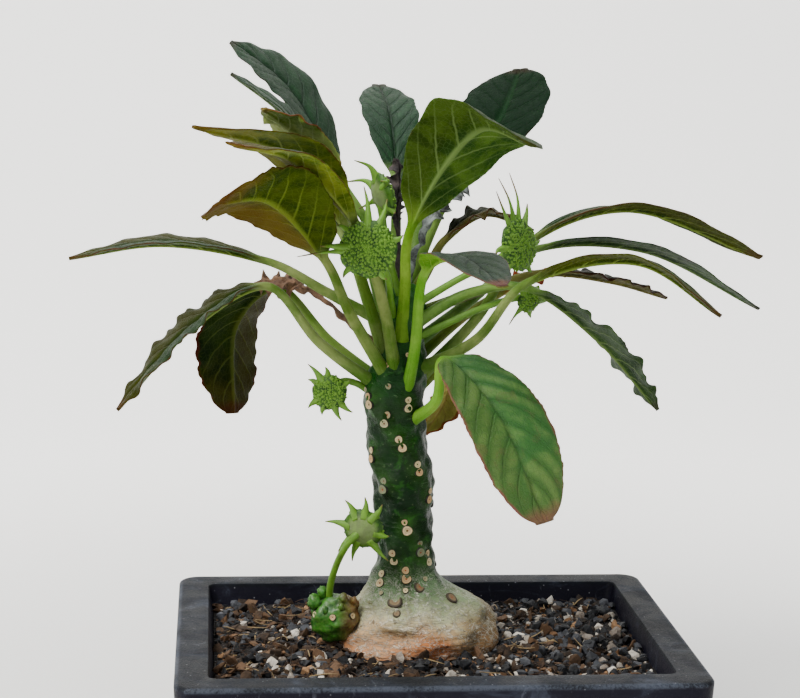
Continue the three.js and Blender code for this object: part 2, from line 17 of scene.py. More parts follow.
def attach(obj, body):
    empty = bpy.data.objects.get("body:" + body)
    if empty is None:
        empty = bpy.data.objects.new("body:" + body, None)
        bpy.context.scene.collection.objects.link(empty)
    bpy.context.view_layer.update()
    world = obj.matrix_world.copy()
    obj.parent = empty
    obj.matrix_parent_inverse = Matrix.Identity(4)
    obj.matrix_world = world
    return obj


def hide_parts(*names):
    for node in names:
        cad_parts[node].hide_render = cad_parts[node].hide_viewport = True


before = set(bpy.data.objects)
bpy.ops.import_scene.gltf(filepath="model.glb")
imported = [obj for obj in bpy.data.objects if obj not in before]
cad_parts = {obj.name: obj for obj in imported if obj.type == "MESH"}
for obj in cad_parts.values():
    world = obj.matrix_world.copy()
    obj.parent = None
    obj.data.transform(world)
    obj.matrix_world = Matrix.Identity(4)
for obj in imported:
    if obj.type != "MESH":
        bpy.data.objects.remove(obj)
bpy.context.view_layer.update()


# %% [markdown]
# ## Camera
# The tray's rim is a rectangle of known size, so its eight corners in the picture fix where the
# camera stood: in front, a little to the left and just above the crown, looking slightly down.
# A lens of 88 mm this far away keeps the shape natural. The turn, tilt and roll are given as
# angles and made into the camera's three axes.

# %% Camera
MM = 0.001
CAMERA = {"place": (-65.3, -563.2, 229.1), "yaw": 5.58, "pitch": 9.53, "roll": 1.22, "lens": 88.3}


def camera_axes(yaw, pitch, roll):
    """The camera's right, up and backward axes as a rotation."""
    yaw, pitch, roll = (math.radians(angle) for angle in (yaw, pitch, roll))
    forward = Vector((math.sin(yaw) * math.cos(pitch), math.cos(yaw) * math.cos(pitch), -math.sin(pitch)))
    right = Vector((math.cos(yaw), -math.sin(yaw), 0))
    up = right.cross(forward)
    turned_right = math.cos(roll) * right + math.sin(roll) * up
    turned_up = math.cos(roll) * up - math.sin(roll) * right
    return Matrix((turned_right, turned_up, -forward)).transposed()


eye = bpy.data.cameras.new("eye")
eye.lens = CAMERA["lens"]
eye.sensor_width = 36
eye.clip_start = 0.05
camera = bpy.data.objects.new("camera", eye)
turned = camera_axes(CAMERA["yaw"], CAMERA["pitch"], CAMERA["roll"]).to_4x4()
camera.matrix_world = Matrix.Translation(Vector(CAMERA["place"]) * MM) @ turned
bpy.context.scene.collection.objects.link(camera)
bpy.context.scene.camera = camera
print("camera at", [round(v, 3) for v in camera.location], "lens", round(eye.lens, 1))

# %% [markdown]
# ## Building blocks for meshes
# Most pieces here are skins pulled over rings: a tray, a stem, a leaf and a stalk are all rings of
# points joined to the next ring. Subdividing a rough cage would also work, but rings keep exact
# control of every ripple, and each point can carry values that its finish reads later.

# %% Easing
def smooth(t):
    """Eases from 0 to 1 while t goes from 0 to 1."""
    s = np.clip(t, 0, 1)
    return s * s * (3 - 2 * s)


def lerp(a, b, t):
    """Goes evenly from a to b while t goes from 0 to 1."""
    return a + (b - a) * t


print("a quarter of the way, eased:", float(smooth(0.25)))

# %% Faces between rings
def skin_faces(ring_count, ring_size, cap_ends=True):
    """The faces between rings of equally many points, and one at each end."""
    faces = []
    for i in range(ring_count - 1):
        low = i * ring_size
        for j in range(ring_size):
            k = (j + 1) % ring_size
            faces.append((low + j, low + k, low + k + ring_size, low + j + ring_size))
    if cap_ends:
        last = (ring_count - 1) * ring_size
        faces.append(tuple(reversed(range(ring_size))))
        faces.append(tuple(range(last, last + ring_size)))
    return faces


print("a skin over 3 rings of 4 points has", len(skin_faces(3, 4)), "faces")

# %% From points to a piece
def make_piece(name, points, faces, finish, nodes, values=None, flat=False):
    """A mesh in metres from points in millimetres, with its finish and body; its solids are hidden."""
    mesh = bpy.data.meshes.new(name)
    mesh.from_pydata((np.asarray(points, float) * MM).tolist(), [], faces)
    for key, given in (values or {}).items():
        given = np.asarray(given, np.float32)
        kind, field = ("FLOAT", "value") if given.ndim == 1 else ("FLOAT_VECTOR", "vector")
        mesh.attributes.new(key, kind, "POINT").data.foreach_set(field, given.ravel())
    shape = bmesh.new()
    shape.from_mesh(mesh)
    bmesh.ops.recalc_face_normals(shape, faces=shape.faces)
    shape.to_mesh(mesh)
    shape.free()
    if flat:
        mesh.shade_flat()
    else:
        mesh.shade_smooth()
    mesh.materials.append(finish)
    piece = bpy.data.objects.new(name, mesh)
    bpy.context.scene.collection.objects.link(piece)
    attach(piece, "root")
    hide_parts(*nodes)
    print(f"{name}: {sum(len(face) - 2 for face in faces)} triangles")
    return piece


print("points are drawn in millimetres, each", MM, "m")

# %% Many small skins in one mesh
class Heap:
    """Collects many small skins into one mesh."""

    def __init__(self):
        self.points, self.faces, self.values = [], [], {}
        self.count = 0

    def add(self, points, faces, **values):
        """Adds a skin. Each value is one number for the whole skin, or one for each of its points."""
        self.faces += [tuple(i + self.count for i in face) for face in faces]
        self.points.append(np.asarray(points, float))
        for key, given in values.items():
            given = np.asarray(given, float)
            if given.ndim == 0:
                given = np.full(len(points), float(given))
            self.values.setdefault(key, []).append(given)
        self.count += len(points)

    def piece(self, name, finish, slot, nodes, flat=False):
        """Makes the heap into a piece."""
        values = {key: np.concatenate(parts) for key, parts in self.values.items()}
        return make_piece(name, np.vstack(self.points), self.faces, finish, nodes, values, flat)


print("a new heap holds", Heap().count, "points")

# %% Smooth routes
def route_points(points, t):
    """Points and directions at t, from 0 to 1, on the smooth curve through the given points."""
    points = np.asarray(points, float)
    padded = np.vstack([2 * points[0] - points[1], points, 2 * points[-1] - points[-2]])
    spans = len(points) - 1
    place = np.clip(np.asarray(t, float) * spans, 0, spans - 1e-9)
    k = place.astype(int)
    w = (place - k)[:, None]
    p0, p1, p2, p3 = (padded[k + i] for i in range(4))
    gaps = ((p0, p1), (p1, p2), (p2, p3))
    d0, d1, d2 = (np.linalg.norm(b - a, axis=1)[:, None] ** 0.5 for a, b in gaps)
    m1 = ((p1 - p0) / d0 - (p2 - p0) / (d0 + d1) + (p2 - p1) / d1) * d1
    m2 = ((p2 - p1) / d1 - (p3 - p1) / (d1 + d2) + (p3 - p2) / d2) * d1
    bend2 = -3 * p1 + 3 * p2 - 2 * m1 - m2
    bend3 = 2 * p1 - 2 * p2 + m1 + m2
    direction = m1 + 2 * bend2 * w + 3 * bend3 * w * w
    direction /= np.linalg.norm(direction, axis=1)[:, None]
    return p1 + m1 * w + bend2 * w * w + bend3 * w ** 3, direction


print("middle of a route:", route_points([(0, 0, 0), (1, 1, 0), (3, 1, 0)], [0.5])[0][0].round(2))

# %% Tubes
def tube_skin(route, radii, sides, steps):
    """A round tube along a route. Its radii are spread evenly along it."""
    t = np.linspace(0, 1, steps)
    centres, along = route_points(route, t)
    radius = np.interp(t, np.linspace(0, 1, len(radii)), radii)
    aside = np.cross(along[0], (0.31, 0.22, 0.92))
    rings = []
    angle = np.linspace(0, 2 * math.pi, sides, endpoint=False)
    for centre, direction, r in zip(centres, along, radius):
        aside = aside - direction * aside.dot(direction)
        aside /= np.linalg.norm(aside)
        other = np.cross(direction, aside)
        rings.append(centre + r * (np.outer(np.cos(angle), aside) + np.outer(np.sin(angle), other)))
    return np.vstack(rings), skin_faces(steps, sides), np.repeat(t, sides)


print("a tube of 5 rings has", len(tube_skin([(0, 0, 0), (0, 0, 9)], [1, 1], 8, 5)[0]), "points")

# %% [markdown]
# ## Building blocks for finishes
# A finish is a shader node tree. Written out in full, each node takes several lines, so a small
# helper adds a node, fills its sockets in order and joins what is already a socket. Effects that
# several finishes share are node groups with named sockets, made once.

# %% A helper that adds and joins shader nodes
class Nodes:
    """Adds nodes to one shader tree. What is worked out comes back as a socket."""

    def __init__(self, tree):
        self.tree = tree

    def join(self, value, socket):
        """Joins a socket, or sets a fixed value."""
        if isinstance(value, bpy.types.NodeSocket):
            self.tree.links.new(value, socket)
        elif value is not None:
            socket.default_value = value

    def add(self, kind, *values, **settings):
        """Adds a node, with its settings, and fills its inputs in order."""
        node = self.tree.nodes.new("ShaderNode" + kind)
        for key, value in settings.items():
            setattr(node, key, value)
        for socket, value in zip(node.inputs, values):
            self.join(value, socket)
        return node

    def calc(self, operation, a, b=None, c=None, clamp=False):
        """One step of arithmetic on one, two or three values."""
        return self.add("Math", a, b, c, operation=operation, use_clamp=clamp).outputs[0]

    def ease(self, value, low, high, start=0.0, end=1.0):
        """Goes smoothly from start to end while value goes from low to high."""
        return self.add("MapRange", value, low, high, start, end, interpolation_type="SMOOTHSTEP").outputs[0]

    def mix(self, share, a, b):
        """Goes from colour a to colour b while the share goes from 0 to 1."""
        node = self.tree.nodes.new("ShaderNodeMix")
        node.data_type = "RGBA"
        for value, socket in ((share, node.inputs[0]), (a, node.inputs[6]), (b, node.inputs[7])):
            self.join(value, socket)
        return node.outputs[2]

    def tint(self, base, mask, strength, shade):
        """Lays a shade over the base where the mask is 1, as strongly as given."""
        return self.mix(self.calc("MULTIPLY", mask, strength), base, shade)

    def stretch(self, vector, factors):
        """Scales a place by its own factor along each axis."""
        return self.add("VectorMath", vector, factors, operation="MULTIPLY").outputs[0]

    def noise(self, vector, scale, detail=3.0, roughness=0.55, distortion=0.0):
        """Soft clouds. A larger scale makes them smaller."""
        node = self.add("TexNoise")
        for key, value in (("Vector", vector), ("Scale", scale), ("Detail", detail),
                           ("Roughness", roughness), ("Distortion", distortion)):
            self.join(value, node.inputs[key])
        return node.outputs[0]

    def cells(self, vector, scale, feature="F1"):
        """How far a place is from the middle, or from the edge, of its cell."""
        node = self.add("TexVoronoi", feature=feature)
        self.join(vector, node.inputs["Vector"])
        self.join(scale, node.inputs["Scale"])
        return node.outputs["Distance"]

    def place(self):
        """Where a point is on the object, in metres."""
        return self.add("TexCoord").outputs["Object"]

    def read(self, name, output="Fac"):
        """A value that the mesh carries at its points."""
        return self.add("Attribute", attribute_name=name).outputs[output]

    def split(self, vector):
        """The three parts of a vector."""
        return self.add("SeparateXYZ", vector).outputs

    def ramp(self, value, stops):
        """Colours set at places from 0 to 1, blended between them."""
        node = self.add("ValToRGB", value)
        band = node.color_ramp
        while len(band.elements) < len(stops):
            band.elements.new(0.5)
        for element, (position, shade) in zip(band.elements, stops):
            element.position = position
            element.color = shade
        return node.outputs[0]


print("the helper has", len([name for name in vars(Nodes) if name[0] != "_"]), "ways to add nodes")

# %% Colours, groups and finishes
def colour(red, green, blue):
    """A colour picked as 0 to 255 on a screen, as the light values that shaders use."""
    parts = [part / 255 for part in (red, green, blue)]
    return tuple(part / 12.92 if part <= 0.04 else ((part + 0.055) / 1.055) ** 2.4 for part in parts) + (1,)


def new_group(name, inputs, outputs):
    """A node group with its named sockets: its helper, its inputs and its outputs."""
    tree = bpy.data.node_groups.new(name, "ShaderNodeTree")
    for label, kind, value in inputs:
        socket = tree.interface.new_socket(label, in_out="INPUT", socket_type="NodeSocket" + kind)
        if value is not None:
            socket.default_value = value
    for label, kind in outputs:
        tree.interface.new_socket(label, in_out="OUTPUT", socket_type="NodeSocket" + kind)
    given = tree.nodes.new("NodeGroupInput").outputs
    result = tree.nodes.new("NodeGroupOutput").inputs
    return Nodes(tree), given, result


def use_group(nodes, name, **values):
    """Places a group in a finish. A key's _ stands for a space in its socket's name."""
    node = nodes.tree.nodes.new("ShaderNodeGroup")
    node.node_tree = bpy.data.node_groups[name]
    for key, value in values.items():
        nodes.join(value, node.inputs[key.replace("_", " ")])
    return node.outputs


def new_finish(name):
    """A material, a helper for its nodes, and its shader."""
    material = bpy.data.materials.new(name)
    material.use_nodes = True
    return material, Nodes(material.node_tree), material.node_tree.nodes["Principled BSDF"]


def dress(nodes, shader, colour_from, roughness, height=None, depth=0.1, **fixed):
    """Joins colour, roughness and a bump of depth millimetres to a shader, and sets fixed values."""
    nodes.join(colour_from, shader.inputs["Base Color"])
    nodes.join(roughness, shader.inputs["Roughness"])
    if height is not None:
        bump = nodes.add("Bump")
        bump.inputs["Strength"].default_value = 1
        bump.inputs["Distance"].default_value = depth * MM
        nodes.join(height, bump.inputs["Height"])
        nodes.join(bump.outputs[0], shader.inputs["Normal"])
    for key, value in fixed.items():
        shader.inputs[key.replace("_", " ")].default_value = value


print("slate on a screen (60, 64, 72) is", [round(v, 3) for v in colour(60, 64, 72)[:3]], "as light")

# %% [markdown]
# ## Shared effects
# Three effects come back in several finishes. Mottling mixes two sizes of soft patches and gives
# living tissue and old plastic their uneven tone. Dust lies on what faces up. Leaf veins turn the
# values that each leaf's mesh carries into a midrib, side veins and the fine net between them.

# %% Mottling
nodes, given, result = new_group(
    "Mottling",
    [("Vector", "Vector", None), ("Patch", "Float", 150.0), ("Speck", "Float", 900.0)],
    [("Patches", "Float"), ("Specks", "Float"), ("Height", "Float")])
patches = nodes.noise(given["Vector"], given["Patch"], 4, 0.6, 0.4)
specks = nodes.noise(given["Vector"], given["Speck"], 3, 0.6)
nodes.join(nodes.ease(patches, 0.35, 0.65), result["Patches"])
nodes.join(nodes.ease(specks, 0.4, 0.68), result["Specks"])
nodes.join(nodes.calc("MULTIPLY_ADD", specks, 0.5, nodes.calc("MULTIPLY", patches, 0.5)), result["Height"])
print("Mottling has", len(nodes.tree.nodes), "nodes")

# %% Dust
nodes, given, result = new_group(
    "Dust",
    [("Vector", "Vector", None), ("Amount", "Float", 0.5), ("Size", "Float", 120.0)],
    [("Mask", "Float")])
facing_up = nodes.ease(nodes.split(nodes.add("NewGeometry").outputs["Normal"])[2], 0.2, 0.95)
cloud = nodes.ease(nodes.noise(given["Vector"], given["Size"], 6, 0.7, 0.6), 0.42, 0.7)
grit = nodes.ease(nodes.noise(given["Vector"], 2600.0, 2, 0.5), 0.5, 0.75)
lying = nodes.calc("MULTIPLY", nodes.calc("MULTIPLY_ADD", facing_up, 0.8, 0.2), given["Amount"])
gritty_cloud = nodes.calc("MULTIPLY_ADD", grit, 0.4, cloud)
nodes.join(nodes.calc("MULTIPLY", lying, gritty_cloud, clamp=True), result["Mask"])
print("Dust has", len(nodes.tree.nodes), "nodes")

# %% Leaf veins
nodes, given, result = new_group(
    "Leaf veins",
    [("Phase", "Float", 0.0), ("Across", "Float", 0.0), ("Vector", "Vector", None)],
    [("Midrib", "Float"), ("Veins", "Float"), ("Net", "Float"), ("Pad", "Float")])
aside = nodes.calc("ABSOLUTE", given["Across"])
wander = nodes.noise(given["Vector"], 260.0, 2)
wobble = nodes.calc("MULTIPLY_ADD", wander, 0.16, nodes.calc("ADD", given["Phase"], -0.08))
from_vein = nodes.calc("ABSOLUTE", nodes.calc("SUBTRACT", nodes.calc("FRACT", wobble), 0.5))
fading = nodes.ease(aside, 0.35, 1.0, 1.0, 0.25)
line = nodes.ease(from_vein, 0.02, 0.085, 1.0, 0.0)
nodes.join(nodes.calc("MULTIPLY", line, fading), result["Veins"])
nodes.join(nodes.ease(aside, 0.025, 0.1, 1.0, 0.0), result["Midrib"])
net = nodes.cells(given["Vector"], 620.0, "DISTANCE_TO_EDGE")
nodes.join(nodes.ease(net, 0.0, 0.09, 1.0, 0.0), result["Net"])
nodes.join(nodes.ease(from_vein, 0.05, 0.4), result["Pad"])
print("Leaf veins has", len(nodes.tree.nodes), "nodes")

# %% [markdown]
# ## Floor and light
# The picture was taken in soft daylight against a bright wall. A pale floor that curves up behind
# the plant gives the same even ground without a seam. A wide lamp high on the left stands for the
# window, one above for the sky, a weak one on the right opens the shadows and a long one washes the
# wall. A very bright wall would whiten the leaves by reflection, so part of its brightness is a glow
# that only the camera sees. The glow fades out towards the plant, which leaves a painted shadow on
# the floor round the tray.

# %% Floor
SWEEP = {"start": 0.55, "radius": 0.5, "front": -2.5, "height": 3.0, "half_width": 3.5}
sweep_profile = [(SWEEP["front"], 0.0), (SWEEP["start"], 0.0)]
for a in np.linspace(0.1, math.pi / 2, 14):
    back = SWEEP["start"] + SWEEP["radius"] * math.sin(a)
    sweep_profile.append((back, SWEEP["radius"] * (1 - math.cos(a))))
sweep_profile.append((SWEEP["start"] + SWEEP["radius"], SWEEP["height"]))
floor_mesh = bpy.data.meshes.new("floor")
floor_points = [(side * SWEEP["half_width"], y, z) for y, z in sweep_profile for side in (-1, 1)]
floor_strips = [(2 * i, 2 * i + 1, 2 * i + 3, 2 * i + 2) for i in range(len(sweep_profile) - 1)]
floor_mesh.from_pydata(floor_points, [], floor_strips)
floor_mesh.shade_smooth()
floor = bpy.data.objects.new("floor", floor_mesh)
bpy.context.scene.collection.objects.link(floor)
print("floor and backdrop in one sweep of", len(floor_strips), "strips")

# %% Pale paper
paper, nodes, shader = new_finish("pale paper")
grain = nodes.noise(nodes.place(), 900.0, 3)
dress(nodes, shader, nodes.mix(grain, colour(236, 234, 230), colour(244, 243, 240)), 0.9, grain, 0.05)
# how far from the plant the glow starts and is full, in metres: with less glow nearer the plant, the floor
# round the tray is left darker, a painted shadow
GLOW_AND_SHADOW_REACH = (0.1, 0.5)
seen = nodes.add("LightPath").outputs["Is Camera Ray"]
from_plant = nodes.add("VectorMath", nodes.place(), operation="LENGTH").outputs["Value"]
glow = nodes.calc("MULTIPLY", nodes.calc("MULTIPLY", nodes.ease(from_plant, *GLOW_AND_SHADOW_REACH), seen), 1.02)
shader.inputs["Emission Color"].default_value = (0.93, 0.92, 0.9, 1)
nodes.join(glow, shader.inputs["Emission Strength"])
floor_mesh.materials.append(paper)
print("pale paper glows fully from", GLOW_AND_SHADOW_REACH[1], "m out")

# %% Lamps
def lamp(name, place, aim, width, height, power, tint=(1, 1, 1)):
    """A rectangular lamp at a place, turned to its aim. Lengths are in metres, the power in watts."""
    light = bpy.data.lights.new(name, "AREA")
    light.shape = "RECTANGLE"
    light.size = width
    light.size_y = height
    light.energy = power
    light.color = tint
    holder = bpy.data.objects.new(name, light)
    holder.location = place
    holder.rotation_euler = (Vector(aim) - Vector(place)).to_track_quat("-Z", "Y").to_euler()
    bpy.context.scene.collection.objects.link(holder)


lamp("window", (-0.75, -0.6, 1.2), (0, 0, 0.12), 0.7, 0.6, 30, (1.0, 0.98, 0.94))
lamp("fill", (1.1, -0.9, 0.6), (0, 0, 0.1), 0.8, 0.8, 3, (0.95, 0.98, 1.0))
lamp("sky", (-0.1, 0.15, 1.3), (0, 0, 0.15), 0.8, 0.8, 8, (0.93, 0.97, 1.0))
lamp("wall wash", (0, 0.45, 1.5), (0, 1.05, 0.3), 2.6, 0.3, 10)
world = bpy.data.worlds.new("room")
world.use_nodes = True
world.node_tree.nodes["Background"].inputs[0].default_value = (0.93, 0.96, 1.0, 1)
world.node_tree.nodes["Background"].inputs[1].default_value = 0.4
bpy.context.scene.world = world

# %% [markdown]
# ## The tray
# The tray is moulded plastic, slate grey, dulled by dust and pale scuffs, with a painted bluish sheen below
# the flat of its rim.
# It is a skin over rounded rectangles that run up the outside, over the turned-down rim and down
# the inside. Drawing it again instead of keeping the solid gives round corners and soft edges.

# %% Tray mesh
TRAY = {"width": 150, "depth": 110, "height": 50, "rim": 9.6, "wall": 2.5, "floor": 3, "taper": 8,
        "skirt": 10, "skirt_thickness": 1.8, "bevel": 1.2, "lean": 0.4, "corner": 6, "inner_corner": 2.5}
CORNER_STEPS = 9
BEND_STEPS = 4
SOFT_EDGE = 0.3


def rounded_rectangle(inset, radius, z):
    """A ring of points round the tray, inset from its outline."""
    half_width, half_depth = TRAY["width"] / 2 - inset, TRAY["depth"] / 2 - inset
    ring = []
    for corner, (sx, sy) in enumerate(((1, 1), (-1, 1), (-1, -1), (1, -1))):
        for k in range(CORNER_STEPS + 1):
            angle = (corner + k / CORNER_STEPS) * math.pi / 2
            ring.append((sx * (half_width - radius) + radius * math.cos(angle),
                         sy * (half_depth - radius) + radius * math.sin(angle), z))
    return ring


def bend(start, end, radius_start, radius_end):
    """Rings over a quarter round: from (inset, z) start to end, the inset changing last."""
    (inset0, z0), (inset1, z1) = start, end
    for k in range(BEND_STEPS + 1):
        a = k / BEND_STEPS * math.pi / 2
        inset = lerp(inset0, inset1, 1 - math.cos(a))
        radius = lerp(radius_start, radius_end, k / BEND_STEPS)
        yield rounded_rectangle(inset, radius, lerp(z0, z1, math.sin(a)))


print("tray corners have", CORNER_STEPS + 1, "points each")

# %% Tray profile
outer_wall = TRAY["rim"] - TRAY["wall"]
top, bevel = TRAY["height"], TRAY["bevel"]
inside_skirt = TRAY["skirt_thickness"] + TRAY["lean"]
skirt_end = top - TRAY["skirt"]
# inset, corner radius and height of each ring: up the outside wall, down inside the skirt and up it
OUTSIDE = [
    (outer_wall + TRAY["taper"], 7, 0),
    (outer_wall + TRAY["taper"] - 1, 7, 1),
    (outer_wall + TRAY["lean"], 6, top - TRAY["wall"]),
    (inside_skirt, 4.5, top - TRAY["wall"]),
    (inside_skirt, 4.5, skirt_end + SOFT_EDGE),
    (inside_skirt - SOFT_EDGE, 4.6, skirt_end),
    (TRAY["lean"] + SOFT_EDGE, 5.8, skirt_end),
    (TRAY["lean"], 6, skirt_end + SOFT_EDGE),
]
# the same over the flat of the rim and down the inside
INSIDE = [
    (lerp(bevel, TRAY["rim"] - 0.8, 0.33), 4, top),
    (lerp(bevel, TRAY["rim"] - 0.8, 0.66), 4, top),
    (TRAY["rim"] - 0.8, TRAY["inner_corner"], top),
    (TRAY["rim"] - 0.3, TRAY["inner_corner"], top - 0.12),
    (TRAY["rim"], TRAY["inner_corner"], top - 0.7),
    (TRAY["rim"] + TRAY["taper"], TRAY["inner_corner"], TRAY["floor"]),
]
rings = [rounded_rectangle(*row) for row in OUTSIDE]
rings += bend((0, top - bevel), (bevel, top), TRAY["corner"], TRAY["corner"] - bevel / 2)
rings += [rounded_rectangle(*row) for row in INSIDE]
tray_points = np.vstack(rings)
tray_faces = skin_faces(len(rings), len(rings[0]))
print("tray:", len(rings), "rings of", len(rings[0]), "points")

# %% Tray finish
RIM_TOP = TRAY["height"] * MM
EDGE_INSET = 0.0004
slate, nodes, shader = new_finish("slate plastic")
where = nodes.place()
mottle = use_group(nodes, "Mottling", Vector=where, Patch=60.0, Speck=1500.0)
x, y, z = nodes.split(where)
# below the flat of the rim the slate is tinted bluish purple: a painted sheen
below_rim_sheen = nodes.ease(z, RIM_TOP - 0.0015, RIM_TOP - 0.0005, 1.0, 0.0)
body = nodes.mix(mottle["Patches"], colour(10, 12, 17), colour(18, 21, 29))
body = nodes.tint(body, below_rim_sheen, 0.75, colour(17, 14, 28))
dust = use_group(nodes, "Dust", Vector=where, Amount=0.75, Size=70.0)["Mask"]
body = nodes.tint(body, dust, 0.16, colour(80, 86, 98))
streaks = nodes.noise(nodes.stretch(where, (1.0, 1.0, 0.25)), 180.0, 5, 0.7, 1.2)
scuffs = nodes.ease(streaks, 0.6, 0.7)
body = nodes.tint(body, scuffs, 0.22, colour(112, 116, 128))
wiped = nodes.ease(nodes.noise(nodes.stretch(where, (0.5, 1.0, 1.0)), 70.0, 6, 0.7, 1.5), 0.5, 0.72)
body = nodes.tint(body, wiped, 0.24, colour(92, 100, 118))
white_specks = nodes.ease(nodes.cells(where, 420.0), 0.05, 0.13, 1.0, 0.0)
white_specks = nodes.calc("MULTIPLY", white_specks, nodes.ease(nodes.noise(where, 60.0, 2), 0.4, 0.55))
body = nodes.tint(body, white_specks, 0.35, colour(166, 168, 176))
edge_x = nodes.calc("SUBTRACT", nodes.calc("ABSOLUTE", x), TRAY["width"] / 2 * MM)
edge_y = nodes.calc("SUBTRACT", nodes.calc("ABSOLUTE", y), TRAY["depth"] / 2 * MM)
beside = nodes.calc("MAXIMUM", edge_x, edge_y)
sideways = nodes.calc("POWER", nodes.calc("ADD", beside, EDGE_INSET), 2.0)
upright = nodes.calc("POWER", nodes.calc("SUBTRACT", z, RIM_TOP - EDGE_INSET), 2.0)
off_edge = nodes.calc("SQRT", nodes.calc("ADD", sideways, upright))
near_edge = nodes.ease(off_edge, 0.0004, 0.0013, 1.0, 0.0)
worn = nodes.calc("MULTIPLY", near_edge, nodes.ease(mottle["Height"], 0.35, 0.6))
body = nodes.tint(body, worn, 0.55, colour(82, 88, 100))
shine = nodes.calc("MULTIPLY_ADD", dust, 0.3, nodes.calc("MULTIPLY_ADD", mottle["Specks"], 0.08, 0.44))
dress(nodes, shader, body, shine, mottle["Height"], 0.25, Specular_IOR_Level=0.12)
tray = make_piece("tray", tray_points, tray_faces, slate, ["pot"])

# %% Drain holes
DRAIN = {"radius": 7, "from_middle": 34, "sides": 32, "cut": (-5, 10)}
drill_points, drill_faces = [], []
around = np.linspace(0, 2 * math.pi, DRAIN["sides"], endpoint=False)
for side in (-1, 1):
    ring = [(side * DRAIN["from_middle"] + DRAIN["radius"] * math.cos(a), DRAIN["radius"] * math.sin(a))
            for a in around]
    drawn = len(drill_points)
    drill_points += [(px * MM, py * MM, pz * MM) for pz in DRAIN["cut"] for px, py in ring]
    drill_faces += [tuple(i + drawn for i in face) for face in skin_faces(2, DRAIN["sides"])]
drill_mesh = bpy.data.meshes.new("drill")
drill_mesh.from_pydata(drill_points, [], drill_faces)
drill = bpy.data.objects.new("drill", drill_mesh)
bpy.context.scene.collection.objects.link(drill)
cut = tray.modifiers.new("drain", "BOOLEAN")
cut.object = drill
cut.operation = "DIFFERENCE"
cut.solver = "EXACT"
bpy.context.view_layer.update()
drilled = bpy.data.meshes.new_from_object(tray.evaluated_get(bpy.context.evaluated_depsgraph_get()))
tray.modifiers.clear()
tray.data = drilled
tray.data.name = "tray"
bpy.data.objects.remove(drill)
tray.data.set_sharp_from_angle(angle=math.radians(40))
print("tray drilled:", len(tray.data.polygons), "faces")

# %% [markdown]
# ## The soil
# The soil is a mix for succulents: angular black and grey lava, pale pumice, tan grains, brown bark
# and crumbs, dry straw and dark fibres. A bump alone would look painted on, so thousands of small
# real grains lie on a rough bed. Each is an angular chip: the tight skin round a few random points.
# None is set inside the swollen base.

# %% Soil level
random.seed(7)
INNER_TOP = TRAY["height"] - TRAY["bevel"] / 2
SOIL_LEVEL = 43.35
soil_inset = TRAY["rim"] + TRAY["taper"] * (INNER_TOP - SOIL_LEVEL) / (INNER_TOP - TRAY["floor"]) + 0.3
half_x, half_y = TRAY["width"] / 2 - soil_inset, TRAY["depth"] / 2 - soil_inset
CAUDEX = {"x": -2.6, "y": 4.5, "rx": 24.6, "ry": 21}


def from_base(x, y):
    """How far a spot is from the middle of the swollen base, 1 at its edge."""
    return math.hypot((x - CAUDEX["x"]) / CAUDEX["rx"], (y - CAUDEX["y"]) / CAUDEX["ry"])


def soil_height(x, y):
    """The bed's height: soft humps, and a slight rise towards the swollen base."""
    humps = noise.noise(Vector((x / 9, y / 9, 0.3))) * 1.0 + noise.noise(Vector((x / 3, y / 3, 2.1))) * 0.7
    return SOIL_LEVEL + humps * 0.8 + 0.8 * math.exp(-((from_base(x, y) - 1) * 4) ** 2)


print("soil in the front left corner at", round(soil_height(-half_x, -half_y), 1), "mm")

# %% Bed of soil
COLUMNS, ROWS = 86, 60


def bed_place(i, j):
    """The number of the bed's point in a column and a row."""
    return j * (COLUMNS + 1) + i


bed_points = []
for j in range(ROWS + 1):
    for i in range(COLUMNS + 1):
        x, y = lerp(-half_x, half_x, i / COLUMNS), lerp(-half_y, half_y, j / ROWS)
        bed_points.append((x, y, soil_height(x, y)))
bed_faces = [(bed_place(i, j), bed_place(i + 1, j), bed_place(i + 1, j + 1), bed_place(i, j + 1))
             for j in range(ROWS) for i in range(COLUMNS)]
rim_loop = [bed_place(i, 0) for i in range(COLUMNS + 1)]
rim_loop += [bed_place(COLUMNS, j) for j in range(1, ROWS + 1)]
rim_loop += [bed_place(i, ROWS) for i in range(COLUMNS - 1, -1, -1)]
rim_loop += [bed_place(0, j) for j in range(ROWS - 1, 0, -1)]
shrink = (TRAY["width"] / 2 - TRAY["rim"] - TRAY["taper"] - 0.6) / half_x
under = [(bed_points[i][0] * shrink, bed_points[i][1] * shrink, TRAY["floor"] + 0.3) for i in rim_loop]
under_from = len(bed_points)
for k in range(len(under)):
    after = (k + 1) % len(under)
    bed_faces.append((rim_loop[k], under_from + k, under_from + after, rim_loop[after]))
bed_faces.append(tuple(range(under_from, under_from + len(under))))
bed_points += under
print("bed of", COLUMNS, "by", ROWS, "squares")

# %% Loam
loam, nodes, shader = new_finish("loam")
where = nodes.place()
mottle = use_group(nodes, "Mottling", Vector=where, Patch=300.0, Speck=1400.0)
crumbs = nodes.cells(where, 700.0)
earth = nodes.mix(mottle["Patches"], colour(7, 6, 7), colour(24, 18, 15))
earth = nodes.tint(earth, mottle["Specks"], 0.35, colour(50, 38, 30))
dress(nodes, shader, earth, 0.95, crumbs, 0.8)
make_piece("soil_bed", bed_points, bed_faces, loam, ["soil"])


# %% A chip of stone or bark
def random_way():
    """A direction that is as likely as any other."""
    return Vector([random.gauss(0, 1) for _ in range(3)]).normalized()


